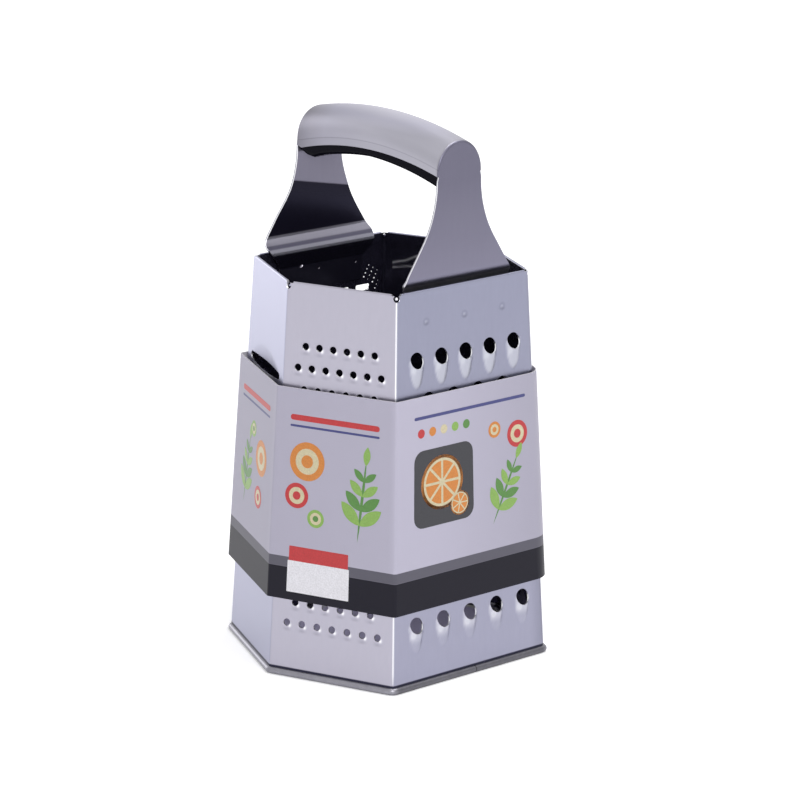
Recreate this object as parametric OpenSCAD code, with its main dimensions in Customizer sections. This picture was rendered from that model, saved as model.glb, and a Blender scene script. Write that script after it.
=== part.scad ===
// Six sided kitchen grater with a steel strap handle and a lift-off card sleeve.
// Z is up, the table is at zero, and the grip runs along X.

/* [Body] */
// Height of the grating body above the table
body_h = 174; // [140:1:210]
// Width across the two handle faces, at table height
base_w = 112.4; // [104:0.2:130]
// Width across the two handle faces, at the top edge
top_w = 96; // [84:0.2:102]
// Width of one handle face, at table height
base_face_w = 89.2; // [80:0.2:100]
// Width of one handle face, at the top edge
top_face_w = 75.4; // [60:0.2:79]
// Angle between a slanted face and the X axis
slant = 22.3; // [14:0.1:30]
// Thickness of the steel sheet
sheet_t = 0.5; // [0.4:0.05:0.7]

/* [Top hem] */
// Height of the edge that is folded inward
hem_h = 4.5; // [3:0.1:6]
// Gap left inside the fold
hem_gap = 0.4; // [0.2:0.05:0.8]
// Length at each corner that is not folded
hem_end = 2.6; // [2:0.1:6]
// Radius of the relief hole where two folds meet
relief_r = 1.5; // [0.8:0.1:2.5]
// Depth of the relief hole's centre below the top edge
relief_drop = 1.9; // [1:0.1:4]

/* [Bottom rim] */
// Radius of the rolled bead
rim_r = 1.6; // [1.2:0.1:2.5]
// Extra radius of the bead's knuckle at a corner
rim_knuckle = 0.1; // [0.05:0.05:0.2]
// Depth of the flat under the bead
rim_flat = 0.15; // [0.05:0.05:0.4]
// Thickness of the bead below the sheet's edge
rim_floor = 0.8; // [0.5:0.1:1.2]
// Width of the slit where the bead's two ends meet
rim_slit = 0.3; // [0.2:0.05:1]
// Distance of that slit from the middle of its face
rim_slit_y = 2.5; // [-20:0.5:20]

/* [Coarse face] */
// Number of rows of coarse teeth
coarse_rows = 7; // [3:1:8]
// Number of teeth in the first row
coarse_count = 5; // [3:1:5]
// Depth of the first row below the top edge
coarse_top_drop = 29.7; // [27:0.1:40]
// Height of the last row above the table
coarse_bottom_z = 28.4; // [25:0.1:50]
// Radius of a coarse hole
coarse_hole_r = 3.5; // [2.5:0.1:3.8]
// Radius of a coarse scoop across the middle of its hole
coarse_scoop_r = 4.7; // [3.8:0.1:5]
// Height of the scoop's crown there, before the hole cuts it away
coarse_crown = 2.6; // [1.8:0.1:2.9]
// Radius of the scoop's round tail
coarse_tail_r = 3; // [2:0.1:3.4]
// Distance of the tail's centre below the hole's centre
coarse_length = 10.2; // [7:0.1:11]

/* [Medium face] */
// Number of rows of medium teeth
medium_rows = 9; // [3:1:10]
// Number of teeth in the first row
medium_count = 5; // [3:1:6]
// Depth of the first row below the top edge
medium_top_drop = 28; // [14:0.5:40]
// Height of the last row above the table
medium_bottom_z = 26; // [22:0.5:50]
// Radius of a medium hole
medium_hole_r = 2.4; // [1.8:0.1:2.7]
// Radius of a medium scoop across the middle of its hole
medium_scoop_r = 3.4; // [2.8:0.1:3.6]
// Height of the scoop's crown there, before the hole cuts it away
medium_crown = 2; // [1.2:0.1:2.4]
// Radius of the scoop's round tail
medium_tail_r = 2.2; // [1.5:0.1:2.5]
// Distance of the tail's centre below the hole's centre
medium_length = 6.4; // [4:0.1:8]

/* [Fine face] */
// Number of rows of fine holes
fine_rows = 14; // [6:1:16]
// Number of holes in the first row
fine_count = 6; // [4:1:6]
// Depth of the first row below the top edge
fine_top_drop = 27.2; // [12:0.1:40]
// Height of the last row above the table
fine_bottom_z = 24.3; // [20:0.1:50]
// Radius of a fine hole
fine_hole_r = 1.55; // [1:0.05:1.9]
// Radius of the lip round a fine hole
fine_lip_r = 2.5; // [2.1:0.1:3]
// Height that the lip stands out
fine_rise = 0.7; // [0.4:0.1:1]

/* [Zest face] */
// Number of rows of zest spikes
zest_rows = 19; // [6:1:20]
// Number of spikes in the first row
zest_count = 11; // [6:1:12]
// Depth of the first row below the top edge
zest_top_drop = 26; // [26:0.5:40]
// Height of the last row above the table
zest_bottom_z = 22; // [16:0.5:50]
// Radius of a zest hole
zest_hole_r = 0.9; // [0.6:0.05:1.1]
// Radius of the foot of a spike
zest_foot_r = 1.9; // [1.5:0.1:2.2]
// Height that a spike stands out
zest_rise = 0.9; // [0.5:0.1:1.2]

/* [Slicing faces] */
// Depth of the first blade of the slicing face below the top edge
slicer_top_drop = 45; // [20:0.5:50]
// Height of the last blade of the slicing face
slicer_bottom_z = 49; // [40:0.5:70]
// Width of a blade of the slicing face
slicer_w = 38.5; // [25:0.5:42]
// Height that a slicing blade stands out
slicer_rise = 1.7; // [1:0.1:1.9]
// Height of the arched bulge below a slicing blade's edge
slicer_arch_h = 9; // [6:0.5:15]
// Height of the slot above a slicing blade
slicer_slot_h = 3.2; // [2:0.1:5]
// Depth of the first blade of the shaving face below the top edge
shaver_top_drop = 16; // [14:0.5:40]
// Height of the last blade of the shaving face
shaver_bottom_z = 42; // [36:0.5:60]
// Width of a blade of the shaving face
shaver_w = 41; // [20:0.5:42]
// Height that a shaving blade stands out
shaver_rise = 1.3; // [0.8:0.1:1.5]
// Height of the arched bulge below a shaving blade's edge
shaver_arch_h = 8; // [6:0.5:15]
// Height of the slot above a shaving blade
shaver_slot_h = 2; // [1.5:0.1:3]
// Depth of the dent that guides the slice in above each slot
guide_depth = 1; // [0.6:0.1:1.4]
// Height of the arched dent above a slot
guide_h = 6; // [4:0.5:7]

/* [Handle strap] */
// Thickness of the strap
strap_t = 0.8; // [0.6:0.1:1.2]
// Distance of a side plate from the outside of its face, at the top edge
plate_inset = 0.8; // [0.4:0.1:2]
// Width of a side plate where it spreads over the body
plate_w = 61; // [50:0.5:68]
// Steepness of the plate's lower flanks, from the vertical
flank_angle = 33; // [25:1:38]
// Radius of the curve between a flank and the neck
flank_r = 48; // [40:1:54]
// Height of the widest place of a side plate above the top edge
hip_z = 1.6; // [1:0.1:3]
// Height above the top edge where the plate starts to bend inward
shoulder_z = 4.6; // [4:0.1:7]
// Radius of that bend
shoulder_r = 4; // [2:0.5:6]
// Angle of the shoulder from the vertical
shoulder_angle = 35; // [25:1:40]
// Depth of the shoulder's lower end below the top edge
shoulder_drop = 1; // [0.5:0.1:2]
// Depth below the top edge where the tab meets the wall
tab_start = 8.5; // [7:0.5:10]
// Depth of the tab's lower end below the top edge
tab_end = 20; // [18:0.5:24]
// Width of a tab
tab_w = 48; // [47:0.5:58]
// Gap between a tab and the wall
tab_gap = 0.05; // [0.02:0.01:0.2]

/* [Grip] */
// Height of the grip's highest place above the body
grip_h = 66.3; // [60:0.1:80]
// Radius of the grip's arch, along its top
grip_arch_r = 200; // [150:5:400]
// Half the width of the grip, and the radius of its rounded top
grip_r = 12.2; // [11:0.1:14]
// Depth of the straight side walls of the steel grip
grip_skirt = 3.3; // [2:0.1:6]
// Thickness that the liner stands below the steel
liner_drop = 3.9; // [2:0.1:5]
// Radius of the liner's lower edges
liner_edge_r = 3; // [1.5:0.1:3.5]
// Gap between the liner and the steel
liner_gap = 0.1; // [0.05:0.05:0.3]

/* [Spot welds] */
// Number of spot welds on each tab
weld_count = 3; // [2:1:4]
// Distance between two welds
weld_pitch = 21.7; // [15:0.1:23]
// Depth of the welds below the top edge
weld_drop = 13.8; // [13:0.1:15]
// Radius of the electrode's tip
weld_tip_r = 4; // [3:0.5:8]
// Depth of a weld's dent
weld_dent = 0.25; // [0.1:0.05:0.3]

/* [Card sleeve] */
// Height of the sleeve's lower edge above the table
sleeve_z = 35.5; // [20:0.5:60]
// Height of the sleeve
sleeve_h = 93.5; // [60:0.5:110]
// Thickness of the card
card_t = 0.5; // [0.3:0.05:0.8]
// Gap between the sleeve and the faces, over the teeth
sleeve_gap = 2.3; // [2.3:0.1:4]

/* [Hidden] */
$fn = 64;

// Faces are numbered anticlockwise from above, from the one towards plus X
coarse_face = 0;
medium_face = 1;
shaver_face = 2;
zest_face = 3;
slicer_face = 4;
fine_face = 5;
handle_faces = [coarse_face, zest_face];
all_faces = [0, 1, 2, 3, 4, 5];
half_turn = 180;
right_angle = 90;

// Length by which cuts and trimming blocks run past what they cut
overrun = 1;
// Size that reaches across the whole object
big = 2 * (body_h + grip_h);

// Shares of a face's width between two teeth of one row
coarse_pitch_share = 0.178;
medium_pitch_share = 0.165;
fine_pitch_share = 0.1235;
zest_pitch_share = 0.075;
// Share of its radius that a scoop's tail stands out of the sheet
tail_share = 0.27;
// Number of blades on each slicing face
slicer_count = 3;
shaver_count = 4;
// Number of short straight lines that draw the shoulder's bend and a plate's curved flank
bend_steps = 6;
flank_steps = 12;

fold_r = sheet_t + hem_gap / 2;
plate_x = top_w / 2 - plate_inset;
grip_centre_z = grip_h - grip_arch_r;
tube_r = grip_arch_r - grip_r;
neck_w = 2 * grip_r - strap_t;
steel = "silver";

// Sizes of the tapering hexagon at height z
function rise(z) = z / body_h;
function half_w(z) = (base_w + (top_w - base_w) * rise(z)) / 2;
function half_face(z) = (base_face_w + (top_face_w - base_face_w) * rise(z)) / 2;
function reach(z) = half_face(z) + half_w(z) * tan(slant);

// Corner k of the hexagon at height z, moved outward by out; face k lies between corners k - 1 and k
function corner(k, z, out = 0) =
    let (w = half_w(z) + out, b = reach(z) + out / cos(slant), h = b - w * tan(slant))
    [[w, h], [0, b], [-w, h], [-w, -h], [0, -b], [w, -h]][k % len(all_faces)];

function before(k) = (k + len(all_faces) - 1) % len(all_faces);
function facing(k) =
    floor(k / 3) * half_turn + [0, right_angle - slant, right_angle + slant][k % 3];
function fold_facing(c) = (facing(c) + facing(c + 1)) / 2;
function is_handle_face(k) = len(search(k, handle_faces)) > 0;
function face_distance(k, z) = is_handle_face(k) ? half_w(z) : reach(z) * cos(slant);
function tilt(k) = atan((face_distance(k, 0) - face_distance(k, body_h)) / body_h);
function face_mid(k, z) = (corner(before(k), z) + corner(k, z)) / 2;
function face_width(k, z) = norm(corner(k, z) - corner(before(k), z));
function face_drift(k) =
    (face_mid(k, body_h) - face_mid(k, 0)) * [-sin(facing(k)), cos(facing(k))];

// Place on face k at height z, a share of the face's width to the side of its middle
function spot(k, z, share = 0) =
    [face_drift(k) * rise(z) + share * face_width(k, z), z / cos(tilt(k)), 0];

// Outline of a bent strip of thickness t, whose middle line runs through the points p
function heading(p, i) = (p[i + 1] - p[i]) / norm(p[i + 1] - p[i]);
function left_of(d) = [-d.y, d.x];
function miter(p, i) =
    i == 0 ? left_of(heading(p, 0)) :
    i == len(p) - 1 ? left_of(heading(p, i - 1)) :
    let (a = left_of(heading(p, i - 1)), b = left_of(heading(p, i))) (a + b) / (1 + a * b);
function strip(p, t) = concat(
    [for (i = [0:len(p) - 1]) p[i] + miter(p, i) * t / 2],
    [for (i = [len(p) - 1:-1:0]) p[i] - miter(p, i) * t / 2]
);

// Puts a flat drawing on the outside of face k: X to the right, Y up the face, Z outward
module on_face(k) {
    mid = face_mid(k, 0);
    translate([mid.x, mid.y, 0])
        rotate([0, 0, facing(k) + right_angle])
            rotate([right_angle - tilt(k), 0, 0])
                children();
}

// Draws a profile of Y and Z, and extrudes it along X by a length, centred
module along_x(length) {
    translate([-length / 2, 0, 0])
        rotate([right_angle, 0, right_angle])
            linear_extrude(length)
                children();
}

// Solid hexagon with the body's taper, its faces moved outward by out, from z0 to z1
module tapered_hexagon(out, z0, z1) {
    intersection() {
        intersection_for (k = all_faces)
            on_face(k) translate([-big / 2, -big / 2, out - big]) cube(big);
        translate([-big / 2, -big / 2, z0]) cube([big, big, z1 - z0]);
    }
}

// Space on one side of fold c, up to the plane that halves the angle between the two faces
module beside_fold(c, side) {
    foot = corner(c, 0);
    lean = (corner(c, body_h) - foot) * [-sin(fold_facing(c)), cos(fold_facing(c))];
    translate([foot.x, foot.y, 0])
        rotate([0, 0, fold_facing(c)])
            rotate([-atan(lean / body_h), 0, 0])
                translate([-big / 2, (side - 1) * big / 2, -big / 2]) cube(big);
}

// Section of the folded edge at the top of a face: X is up the face, Y is outward
module hem_profile(top) {
    leg = hem_h - fold_r;
    inner_r = fold_r - sheet_t;
    translate([top - fold_r, -fold_r])
        difference() {
            union() {
                circle(fold_r);
                translate([-leg, -fold_r]) square([leg, 2 * fold_r]);
            }
            circle(inner_r);
            translate([-leg - overrun, -inner_r]) square([leg + overrun, 2 * inner_r]);
        }
}

// Plain sheet of face k with its folded edge, before it is punched
module blank(k) {
    top = spot(k, body_h);
    hem_w = face_width(k, body_h) - 2 * hem_end;
    intersection() {
        on_face(k)
            translate([-big / 2, -overrun, -sheet_t]) cube([big, top.y - fold_r + overrun, sheet_t]);
        beside_fold(before(k), 1);
        beside_fold(k, -1);
        translate([-big / 2, -big / 2, rim_floor]) cube(big);
    }
    on_face(k) translate([top.x, 0, 0]) along_x(hem_w) hem_profile(top.y);
}

// Round relief holes at the two folds that bound face k
module relief_holes(k) {
    for (c = [before(k), k]) {
        edge = corner(c, body_h - relief_drop);
        translate([edge.x, edge.y, body_h - relief_drop])
            rotate([right_angle, 0, fold_facing(c) + right_angle])
                cylinder(r = relief_r, h = 4 * fold_r + 2 * overrun, center = true);
    }
}

// Keeps what lies outside the middle of the sheet, or inside it
module outside_sheet() {
    intersection() {
        children();
        translate([-big / 2, -big / 2, -sheet_t / 2]) cube(big);
    }
}
module inside_sheet() {
    intersection() {
        children();
        translate([-big / 2, -big / 2, -sheet_t / 2 - big]) cube(big);
    }
}

// Punched sheet of face k: the first child is what stands out of it, the second is what is cut
module panel(k) {
    difference() {
        union() {
            blank(k);
            on_face(k) children(0);
        }
        on_face(k) children(1);
        relief_holes(k);
    }
}

// Repeats a tooth over face k in staggered rows, whose counts alternate between two numbers
module rows(k, top_drop, bottom_z, count, first, second, pitch_share) {
    top_z = body_h - top_drop;
    for (row = [0:count - 1]) {
        z = top_z + (bottom_z - top_z) * row / (count - 1);
        teeth = row % 2 == 0 ? first : second;
        for (i = [0:teeth - 1])
            translate(spot(k, z, (i - (teeth - 1) / 2) * pitch_share)) children();
    }
}

// Raised scoop below a hole, from the middle of the hole to a round tail; shrink makes its inside
module scoop(scoop_r, crown, tail_r, length, shrink = 0) {
    drop = (crown - scoop_r) - (tail_share - 1) * tail_r;
    axis_l = norm([length, drop]);
    end_r = tail_r + (tail_r - scoop_r) * sheet_t / axis_l;
    translate([0, 0, crown - scoop_r])
        rotate([right_angle + atan(drop / length), 0, 0]) {
            translate([0, 0, -shrink])
                cylinder(r1 = scoop_r - shrink, r2 = end_r - shrink, h = axis_l + sheet_t + shrink);
            translate([0, 0, axis_l]) sphere(tail_r - shrink);
        }
}

// Straight round hole through a face and all that stands out of it
module punch(hole_r) {
    translate([0, 0, -overrun]) cylinder(r = hole_r, h = 2 * sleeve_gap);
}

// Low round lip under a fine hole
module fine_lip() {
    dome_r = (fine_lip_r ^ 2 + fine_rise ^ 2) / (2 * fine_rise);
    translate([0, -fine_hole_r / 2, fine_rise - dome_r]) sphere(dome_r);
}

// Small crater round a zest hole
module zest_spike() {
    translate([0, 0, -sheet_t / 2])
        cylinder(r1 = zest_foot_r, r2 = zest_hole_r + sheet_t / 4, h = zest_rise + sheet_t / 2);
}

// Places one blade at each of several even heights on face k
module blades(k, top_drop, bottom_z, count) {
    top_z = body_h - top_drop;
    for (i = [0:count - 1])
        translate(spot(k, top_z + (bottom_z - top_z) * i / (count - 1))) children();
}

// Part of a shallow dome below a straight edge: the edge stands out by edge_rise at its middle, and
// the dome's arched foot reaches arch_h below it
module blade_dome(width, arch_h, edge_rise, shrink = 0) {
    up = (width / 2) ^ 2 / (2 * arch_h) - arch_h / 2;
    out = ((width / 2) ^ 2 / edge_rise + edge_rise) / 2;
    intersection() {
        translate([0, up, edge_rise - out]) sphere(norm([up, out]) - shrink, $fn = 128);
        translate([-width, shrink - 2 * width, -2 * edge_rise]) cube([2 * width, 2 * width, 4 * edge_rise]);
    }
}

// Dent above a slot of height slot_h: the same dome, turned upside down and inward
module guide_dent(width, slot_h, shrink = 0) {
    translate([0, slot_h, -sheet_t]) rotate([half_turn, 0, 0]) blade_dome(width, guide_h, guide_depth, shrink);
}

// Slot above a cutting edge, with round ends just past the ends of the edge
module blade_slot(width, slot_h) {
    straight = width + 2 * sheet_t;
    translate([-straight / 2, 0, -2 * overrun]) cube([straight, slot_h, 4 * overrun]);
    for (side = [-1, 1])
        translate([side * straight / 2, slot_h / 2, -2 * overrun])
            cylinder(d = slot_h, h = 4 * overrun);
}

// Dents of the spot welds on face k, at a distance out from the face
module weld_dents(k, out, side) {
    z = body_h - weld_drop;
    mid = spot(k, z);
    for (i = [0:weld_count - 1])
        translate([mid.x + (i - (weld_count - 1) / 2) * weld_pitch, mid.y, out])
            translate([0, 0, side * (weld_tip_r - weld_dent)])
                sphere(weld_tip_r);
}

module coarse_rows() {
    rows(coarse_face, coarse_top_drop, coarse_bottom_z, coarse_rows,
         coarse_count, coarse_count - 1, coarse_pitch_share)
        children();
}

module coarse_panel() {
    color(steel) panel(coarse_face) {
        outside_sheet() coarse_rows() scoop(coarse_scoop_r, coarse_crown, coarse_tail_r, coarse_length);
        union() {
            coarse_rows() {
                scoop(coarse_scoop_r, coarse_crown, coarse_tail_r, coarse_length, sheet_t);
                punch(coarse_hole_r);
            }
            weld_dents(coarse_face, 0, 1);
        }
    }
}

module medium_rows() {
    rows(medium_face, medium_top_drop, medium_bottom_z, medium_rows,
         medium_count, medium_count - 1, medium_pitch_share)
        children();
}

module medium_panel() {
    color(steel) panel(medium_face) {
        outside_sheet() medium_rows() scoop(medium_scoop_r, medium_crown, medium_tail_r, medium_length);
        medium_rows() {
            scoop(medium_scoop_r, medium_crown, medium_tail_r, medium_length, sheet_t);
            punch(medium_hole_r);
        }
    }
}

module fine_rows() {
    rows(fine_face, fine_top_drop, fine_bottom_z, fine_rows,
         fine_count, fine_count + 1, fine_pitch_share)
        children();
}

module fine_panel() {
    color(steel) panel(fine_face) {
        outside_sheet() fine_rows() fine_lip();
        fine_rows() punch(fine_hole_r);
    }
}

module zest_rows() {
    rows(zest_face, zest_top_drop, zest_bottom_z, zest_rows,
         zest_count, zest_count + 1, zest_pitch_share)
        children();
}

module zest_panel() {
    color(steel) panel(zest_face) {
        outside_sheet() zest_rows() zest_spike();
        union() {
            zest_rows() punch(zest_hole_r);
            weld_dents(zest_face, 0, 1);
        }
    }
}

module slicer_blades() {
    blades(slicer_face, slicer_top_drop, slicer_bottom_z, slicer_count) children();
}

module slicer_panel() {
    color(steel) panel(slicer_face) {
        slicer_blades() {
            outside_sheet() blade_dome(slicer_w, slicer_arch_h, slicer_rise);
            inside_sheet() guide_dent(slicer_w, slicer_slot_h);
        }
        slicer_blades() {
            blade_dome(slicer_w, slicer_arch_h, slicer_rise, sheet_t);
            guide_dent(slicer_w, slicer_slot_h, sheet_t);
            blade_slot(slicer_w, slicer_slot_h);
        }
    }
}

module shaver_blades() {
    blades(shaver_face, shaver_top_drop, shaver_bottom_z, shaver_count) children();
}

module shaver_panel() {
    color(steel) panel(shaver_face) {
        shaver_blades() {
            outside_sheet() blade_dome(shaver_w, shaver_arch_h, shaver_rise);
            inside_sheet() guide_dent(shaver_w, shaver_slot_h);
        }
        shaver_blades() {
            blade_dome(shaver_w, shaver_arch_h, shaver_rise, sheet_t);
            guide_dent(shaver_w, shaver_slot_h, sheet_t);
            blade_slot(shaver_w, shaver_slot_h);
        }
    }
}

// Rolled bead that grips the lower edge of the sheet, with a round knuckle at each corner
module bottom_rim() {
    bead_z = rim_r - rim_flat;
    color("gray") difference() {
        for (k = all_faces) {
            near = corner(before(k), bead_z, -sheet_t / 2);
            run = corner(k, bead_z, -sheet_t / 2) - near;
            translate([near.x, near.y, bead_z]) {
                rotate([0, right_angle, atan2(run.y, run.x)]) cylinder(r = rim_r, h = norm(run));
                sphere(rim_r + rim_knuckle);
            }
        }
        translate([-big / 2, -big / 2, -big]) cube(big);
        difference() {
            tapered_hexagon(0, rim_floor, big);
            tapered_hexagon(-sheet_t, -overrun, big + overrun);
        }
        translate([0, rim_slit_y - rim_slit / 2, -overrun])
            cube([base_w, rim_slit, 2 * (rim_r + overrun)]);
    }
}

// Middle line of the strap beside the body: X is outward, Y is above the top edge
function wall_x(drop) =
    half_w(body_h - drop) - (sheet_t + tab_gap + strap_t / 2) / cos(tilt(coarse_face));
function shoulder_path() =
    let (
        x = plate_x - strap_t / 2,
        end_x = x - shoulder_r * (1 - cos(shoulder_angle)),
        end_z = shoulder_z - shoulder_r * sin(shoulder_angle),
        run = (end_z + shoulder_drop) * tan(shoulder_angle)
    )
    concat(
        [[x, grip_h]],
        [for (i = [0:bend_steps])
            let (a = shoulder_angle * i / bend_steps)
            [x - shoulder_r * (1 - cos(a)), shoulder_z - shoulder_r * sin(a)]],
        [[end_x - run, -shoulder_drop], [wall_x(tab_start), -tab_start], [wall_x(tab_end), -tab_end]]
    );

// Right half of the side plate's outline, from the tab up to the neck
function plate_flank() =
    let (
        hip_w = plate_w / 2,
        curve_w = neck_w / 2 + flank_r * (1 - cos(flank_angle)),
        curve_z = hip_z + (hip_w - curve_w) / tan(flank_angle),
        neck_z = curve_z + flank_r * sin(flank_angle)
    )
    concat(
        [[tab_w / 2, -tab_end], [tab_w / 2, -tab_start], [hip_w - hip_z / 2, -shoulder_drop], [hip_w, hip_z]],
        [for (i = [0:flank_steps])
            let (a = flank_angle * (1 - i / flank_steps))
            [neck_w / 2 + flank_r * (1 - cos(a)), neck_z - flank_r * sin(a)]]
    );

module plate_outline() {
    flank = plate_flank();
    tube_z = grip_centre_z + sqrt(tube_r ^ 2 - plate_x ^ 2);
    other = [for (i = [len(flank) - 1:-1:0]) [-flank[i].x, flank[i].y]];
    polygon(concat(flank, [[neck_w / 2, tube_z], [-neck_w / 2, tube_z]], other));
    translate([0, tube_z]) circle(neck_w / 2);
}

// Side plate, shoulder and tab over the face towards plus X
module strap_side() {
    difference() {
        translate([0, 0, body_h])
            intersection() {
                rotate([right_angle, 0, 0])
                    linear_extrude(big, center = true) polygon(strip(shoulder_path(), strap_t));
                along_x(base_w) plate_outline();
            }
        on_face(coarse_face) weld_dents(coarse_face, -sheet_t - tab_gap - strap_t, -1);
    }
}

// Sweeps a section along the grip's arch: X of the section is the distance from the arch's centre
module along_arch(half_length) {
    half_angle = 2 * asin(half_length / tube_r);
    intersection() {
        translate([0, 0, body_h + grip_centre_z])
            rotate([right_angle, 0, 0])
                rotate([0, 0, right_angle - half_angle])
                    rotate_extrude(angle = 2 * half_angle, $fn = 360)
                        children();
        translate([-half_length, -big / 2, body_h]) cube([2 * half_length, big, big]);
    }
}

module handle_strap() {
    color(steel) union() {
        strap_side();
        mirror([1, 0, 0]) strap_side();
        along_arch(plate_x) difference() {
            union() {
                translate([tube_r, 0]) circle(grip_r);
                translate([tube_r - grip_skirt, -grip_r]) square([grip_skirt, 2 * grip_r]);
            }
            translate([tube_r, 0]) circle(grip_r - strap_t);
            translate([tube_r - grip_r - overrun, strap_t - grip_r])
                square([grip_r + overrun, 2 * (grip_r - strap_t)]);
        }
    }
}

// Insert that closes the underside of the grip
module grip_liner() {
    half = grip_r - strap_t - liner_gap;
    low = tube_r - grip_skirt - liner_drop;
    color("dimgray") along_arch(plate_x - strap_t - liner_gap) {
        translate([low + liner_edge_r, -half]) square([tube_r - low - liner_edge_r, 2 * half]);
        translate([low, liner_edge_r - half]) square([2 * liner_edge_r, 2 * (half - liner_edge_r)]);
        for (side = [-1, 1])
            translate([low + liner_edge_r, side * (half - liner_edge_r)]) circle(liner_edge_r);
    }
}

module card_sleeve() {
    color("thistle") difference() {
        tapered_hexagon(sleeve_gap + card_t, sleeve_z, sleeve_z + sleeve_h);
        tapered_hexagon(sleeve_gap, sleeve_z - overrun, sleeve_z + sleeve_h + overrun);
    }
}

coarse_panel();
shaver_panel();
medium_panel();
zest_panel();
slicer_panel();
fine_panel();
bottom_rim();
handle_strap();
grip_liner();
card_sleeve();
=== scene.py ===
import math

import bpy
import numpy as np
from mathutils import Matrix, Vector


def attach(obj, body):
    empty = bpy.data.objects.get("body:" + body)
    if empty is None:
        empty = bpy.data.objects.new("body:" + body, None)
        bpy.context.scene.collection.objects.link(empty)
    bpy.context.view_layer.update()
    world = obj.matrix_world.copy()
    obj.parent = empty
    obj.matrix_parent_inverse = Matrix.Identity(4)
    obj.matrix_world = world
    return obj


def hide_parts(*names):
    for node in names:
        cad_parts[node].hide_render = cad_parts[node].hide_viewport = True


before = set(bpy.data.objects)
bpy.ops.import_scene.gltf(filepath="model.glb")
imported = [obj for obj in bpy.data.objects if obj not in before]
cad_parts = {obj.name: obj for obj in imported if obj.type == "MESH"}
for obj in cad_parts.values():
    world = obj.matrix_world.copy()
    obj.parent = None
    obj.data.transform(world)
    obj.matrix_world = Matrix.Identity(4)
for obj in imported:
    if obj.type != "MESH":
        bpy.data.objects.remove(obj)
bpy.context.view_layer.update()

# Sizes in millimetres, as the solids have them. Those of the grip, its liner and the small reliefs are a
# little off the solids' own, to follow the real object more closely.
MM = 0.001
BODY_H, BASE_W, TOP_W = 174.0, 112.4, 96.0
BASE_FACE_W, TOP_FACE_W, SLANT = 89.2, 75.4, math.radians(22.3)
SHEET_T = 0.5
HEM_H, HEM_GAP, HEM_END = 4.5, 0.4, 2.6
HEM_R = SHEET_T + HEM_GAP / 2
RELIEF_R, SMALL_RELIEF_R, RELIEF_DROP = 1.5, 0.8, 1.9
RIM_R, RIM_FLAT = 1.6, 0.15
STRAP_T, PLATE_X = 0.8, 47.2
GRIP_R, TUBE_R, GRIP_Z = 12.3, 187.8, -133.7
LINER_DROP, LINER_EDGE, LINER_GAP = 7.2, 2.2, 0.1
SLEEVE_Z, SLEEVE_H, CARD_T, SLEEVE_GAP = 35.5, 93.5, 0.5, 2.3
TAB_W, TAB_START, TAB_END, TAB_GAP = 48.0, 8.5, 20.0, 0.05
SHOULDER_Z, SHOULDER_R, SHOULDER_ANGLE, SHOULDER_DROP = 4.6, 4.0, math.radians(35), 1.0
WELD_DROP, WELD_PITCH, WELD_TIP_R, WELD_DENT = 13.8, 21.7, 4.0, 0.25

# Outer radius of each fold, from the one right of the coarse face anticlockwise
FOLD_R = [3.4, 1.6, 1.6, 1.6, 2.2, 1.2]
# Painted highlight along the middle of each fold, and painted shade on its sides
FOLD_PAINTED_LIGHT = [(-0.25, 0), (0.5, 0.2), (0.5, 0.2), (0.5, 0.2), (-0.1, 0), (1.0, 0.35)]


# ---- body shape


def half_w(z):
    return (BASE_W + (TOP_W - BASE_W) * np.asarray(z, float) / BODY_H) / 2


def reach(z):
    face = (BASE_FACE_W + (TOP_FACE_W - BASE_FACE_W) * np.asarray(z, float) / BODY_H) / 2
    return face + half_w(z) * math.tan(SLANT)


def corner(k, z, out=0.0):
    z = np.asarray(z, float)
    w = half_w(z) + out
    b = reach(z) + out / math.cos(SLANT)
    h = b - w * math.tan(SLANT)
    x, y = [(w, h), (0 * w, b), (-w, h), (-w, -h), (0 * w, -b), (w, -h)][k % 6]
    return np.stack([x, y], -1)


def facing(k):
    return math.radians(k // 3 * 180) + (0, math.pi / 2 - SLANT, math.pi / 2 + SLANT)[k % 3]


def fold_facing(c):
    return (facing(c) + facing(c + 1)) / 2


def face_mid(k, z):
    return (corner(k + 5, z) + corner(k, z)) / 2


def face_width(k, z):
    return np.linalg.norm(corner(k, z) - corner(k + 5, z), axis=-1)


def tilt(k):
    fall = half_w(0) - half_w(BODY_H) if k % 3 == 0 else (reach(0) - reach(BODY_H)) * math.cos(SLANT)
    return math.atan(float(fall) / BODY_H)


def along(k):
    return np.array([-math.sin(facing(k)), math.cos(facing(k))])


def face_drift(k):
    return float((face_mid(k, BODY_H) - face_mid(k, 0)) @ along(k))


def spot(k, z, share=0.0):
    """Flat coordinates on face k at height z, a share of its width from its middle."""
    return np.array([face_drift(k) * z / BODY_H + share * float(face_width(k, z)), z / math.cos(tilt(k))])


def row_spots(k, top_drop, bottom_z, count, first, second, share):
    """Rows of places from the top down, with two counts by turns."""
    places = []
    for row in range(count):
        z = BODY_H - top_drop + (bottom_z - BODY_H + top_drop) * row / (count - 1)
        z += 1.2 if k == 0 and row == 1 else 0
        teeth = second if row % 2 else first
        places += [spot(k, z, (i - (teeth - 1) / 2) * share) for i in range(teeth)]
    return places


# ---- mesh making


def vertex_normals(points, faces):
    normals = np.zeros_like(points)
    by_size = {}
    for f in faces:
        by_size.setdefault(len(f), []).append(f)
    for size, some in by_size.items():
        f = np.array(some)
        total = np.zeros((len(f), 3))
        for i in range(1, size - 1):
            total += np.cross(points[f[:, i]] - points[f[:, 0]], points[f[:, i + 1]] - points[f[:, 0]])
        for i in range(size):
            np.add.at(normals, f[:, i], total)
    length = np.linalg.norm(normals, axis=1, keepdims=True)
    return normals / np.maximum(length, 1e-12)


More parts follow.
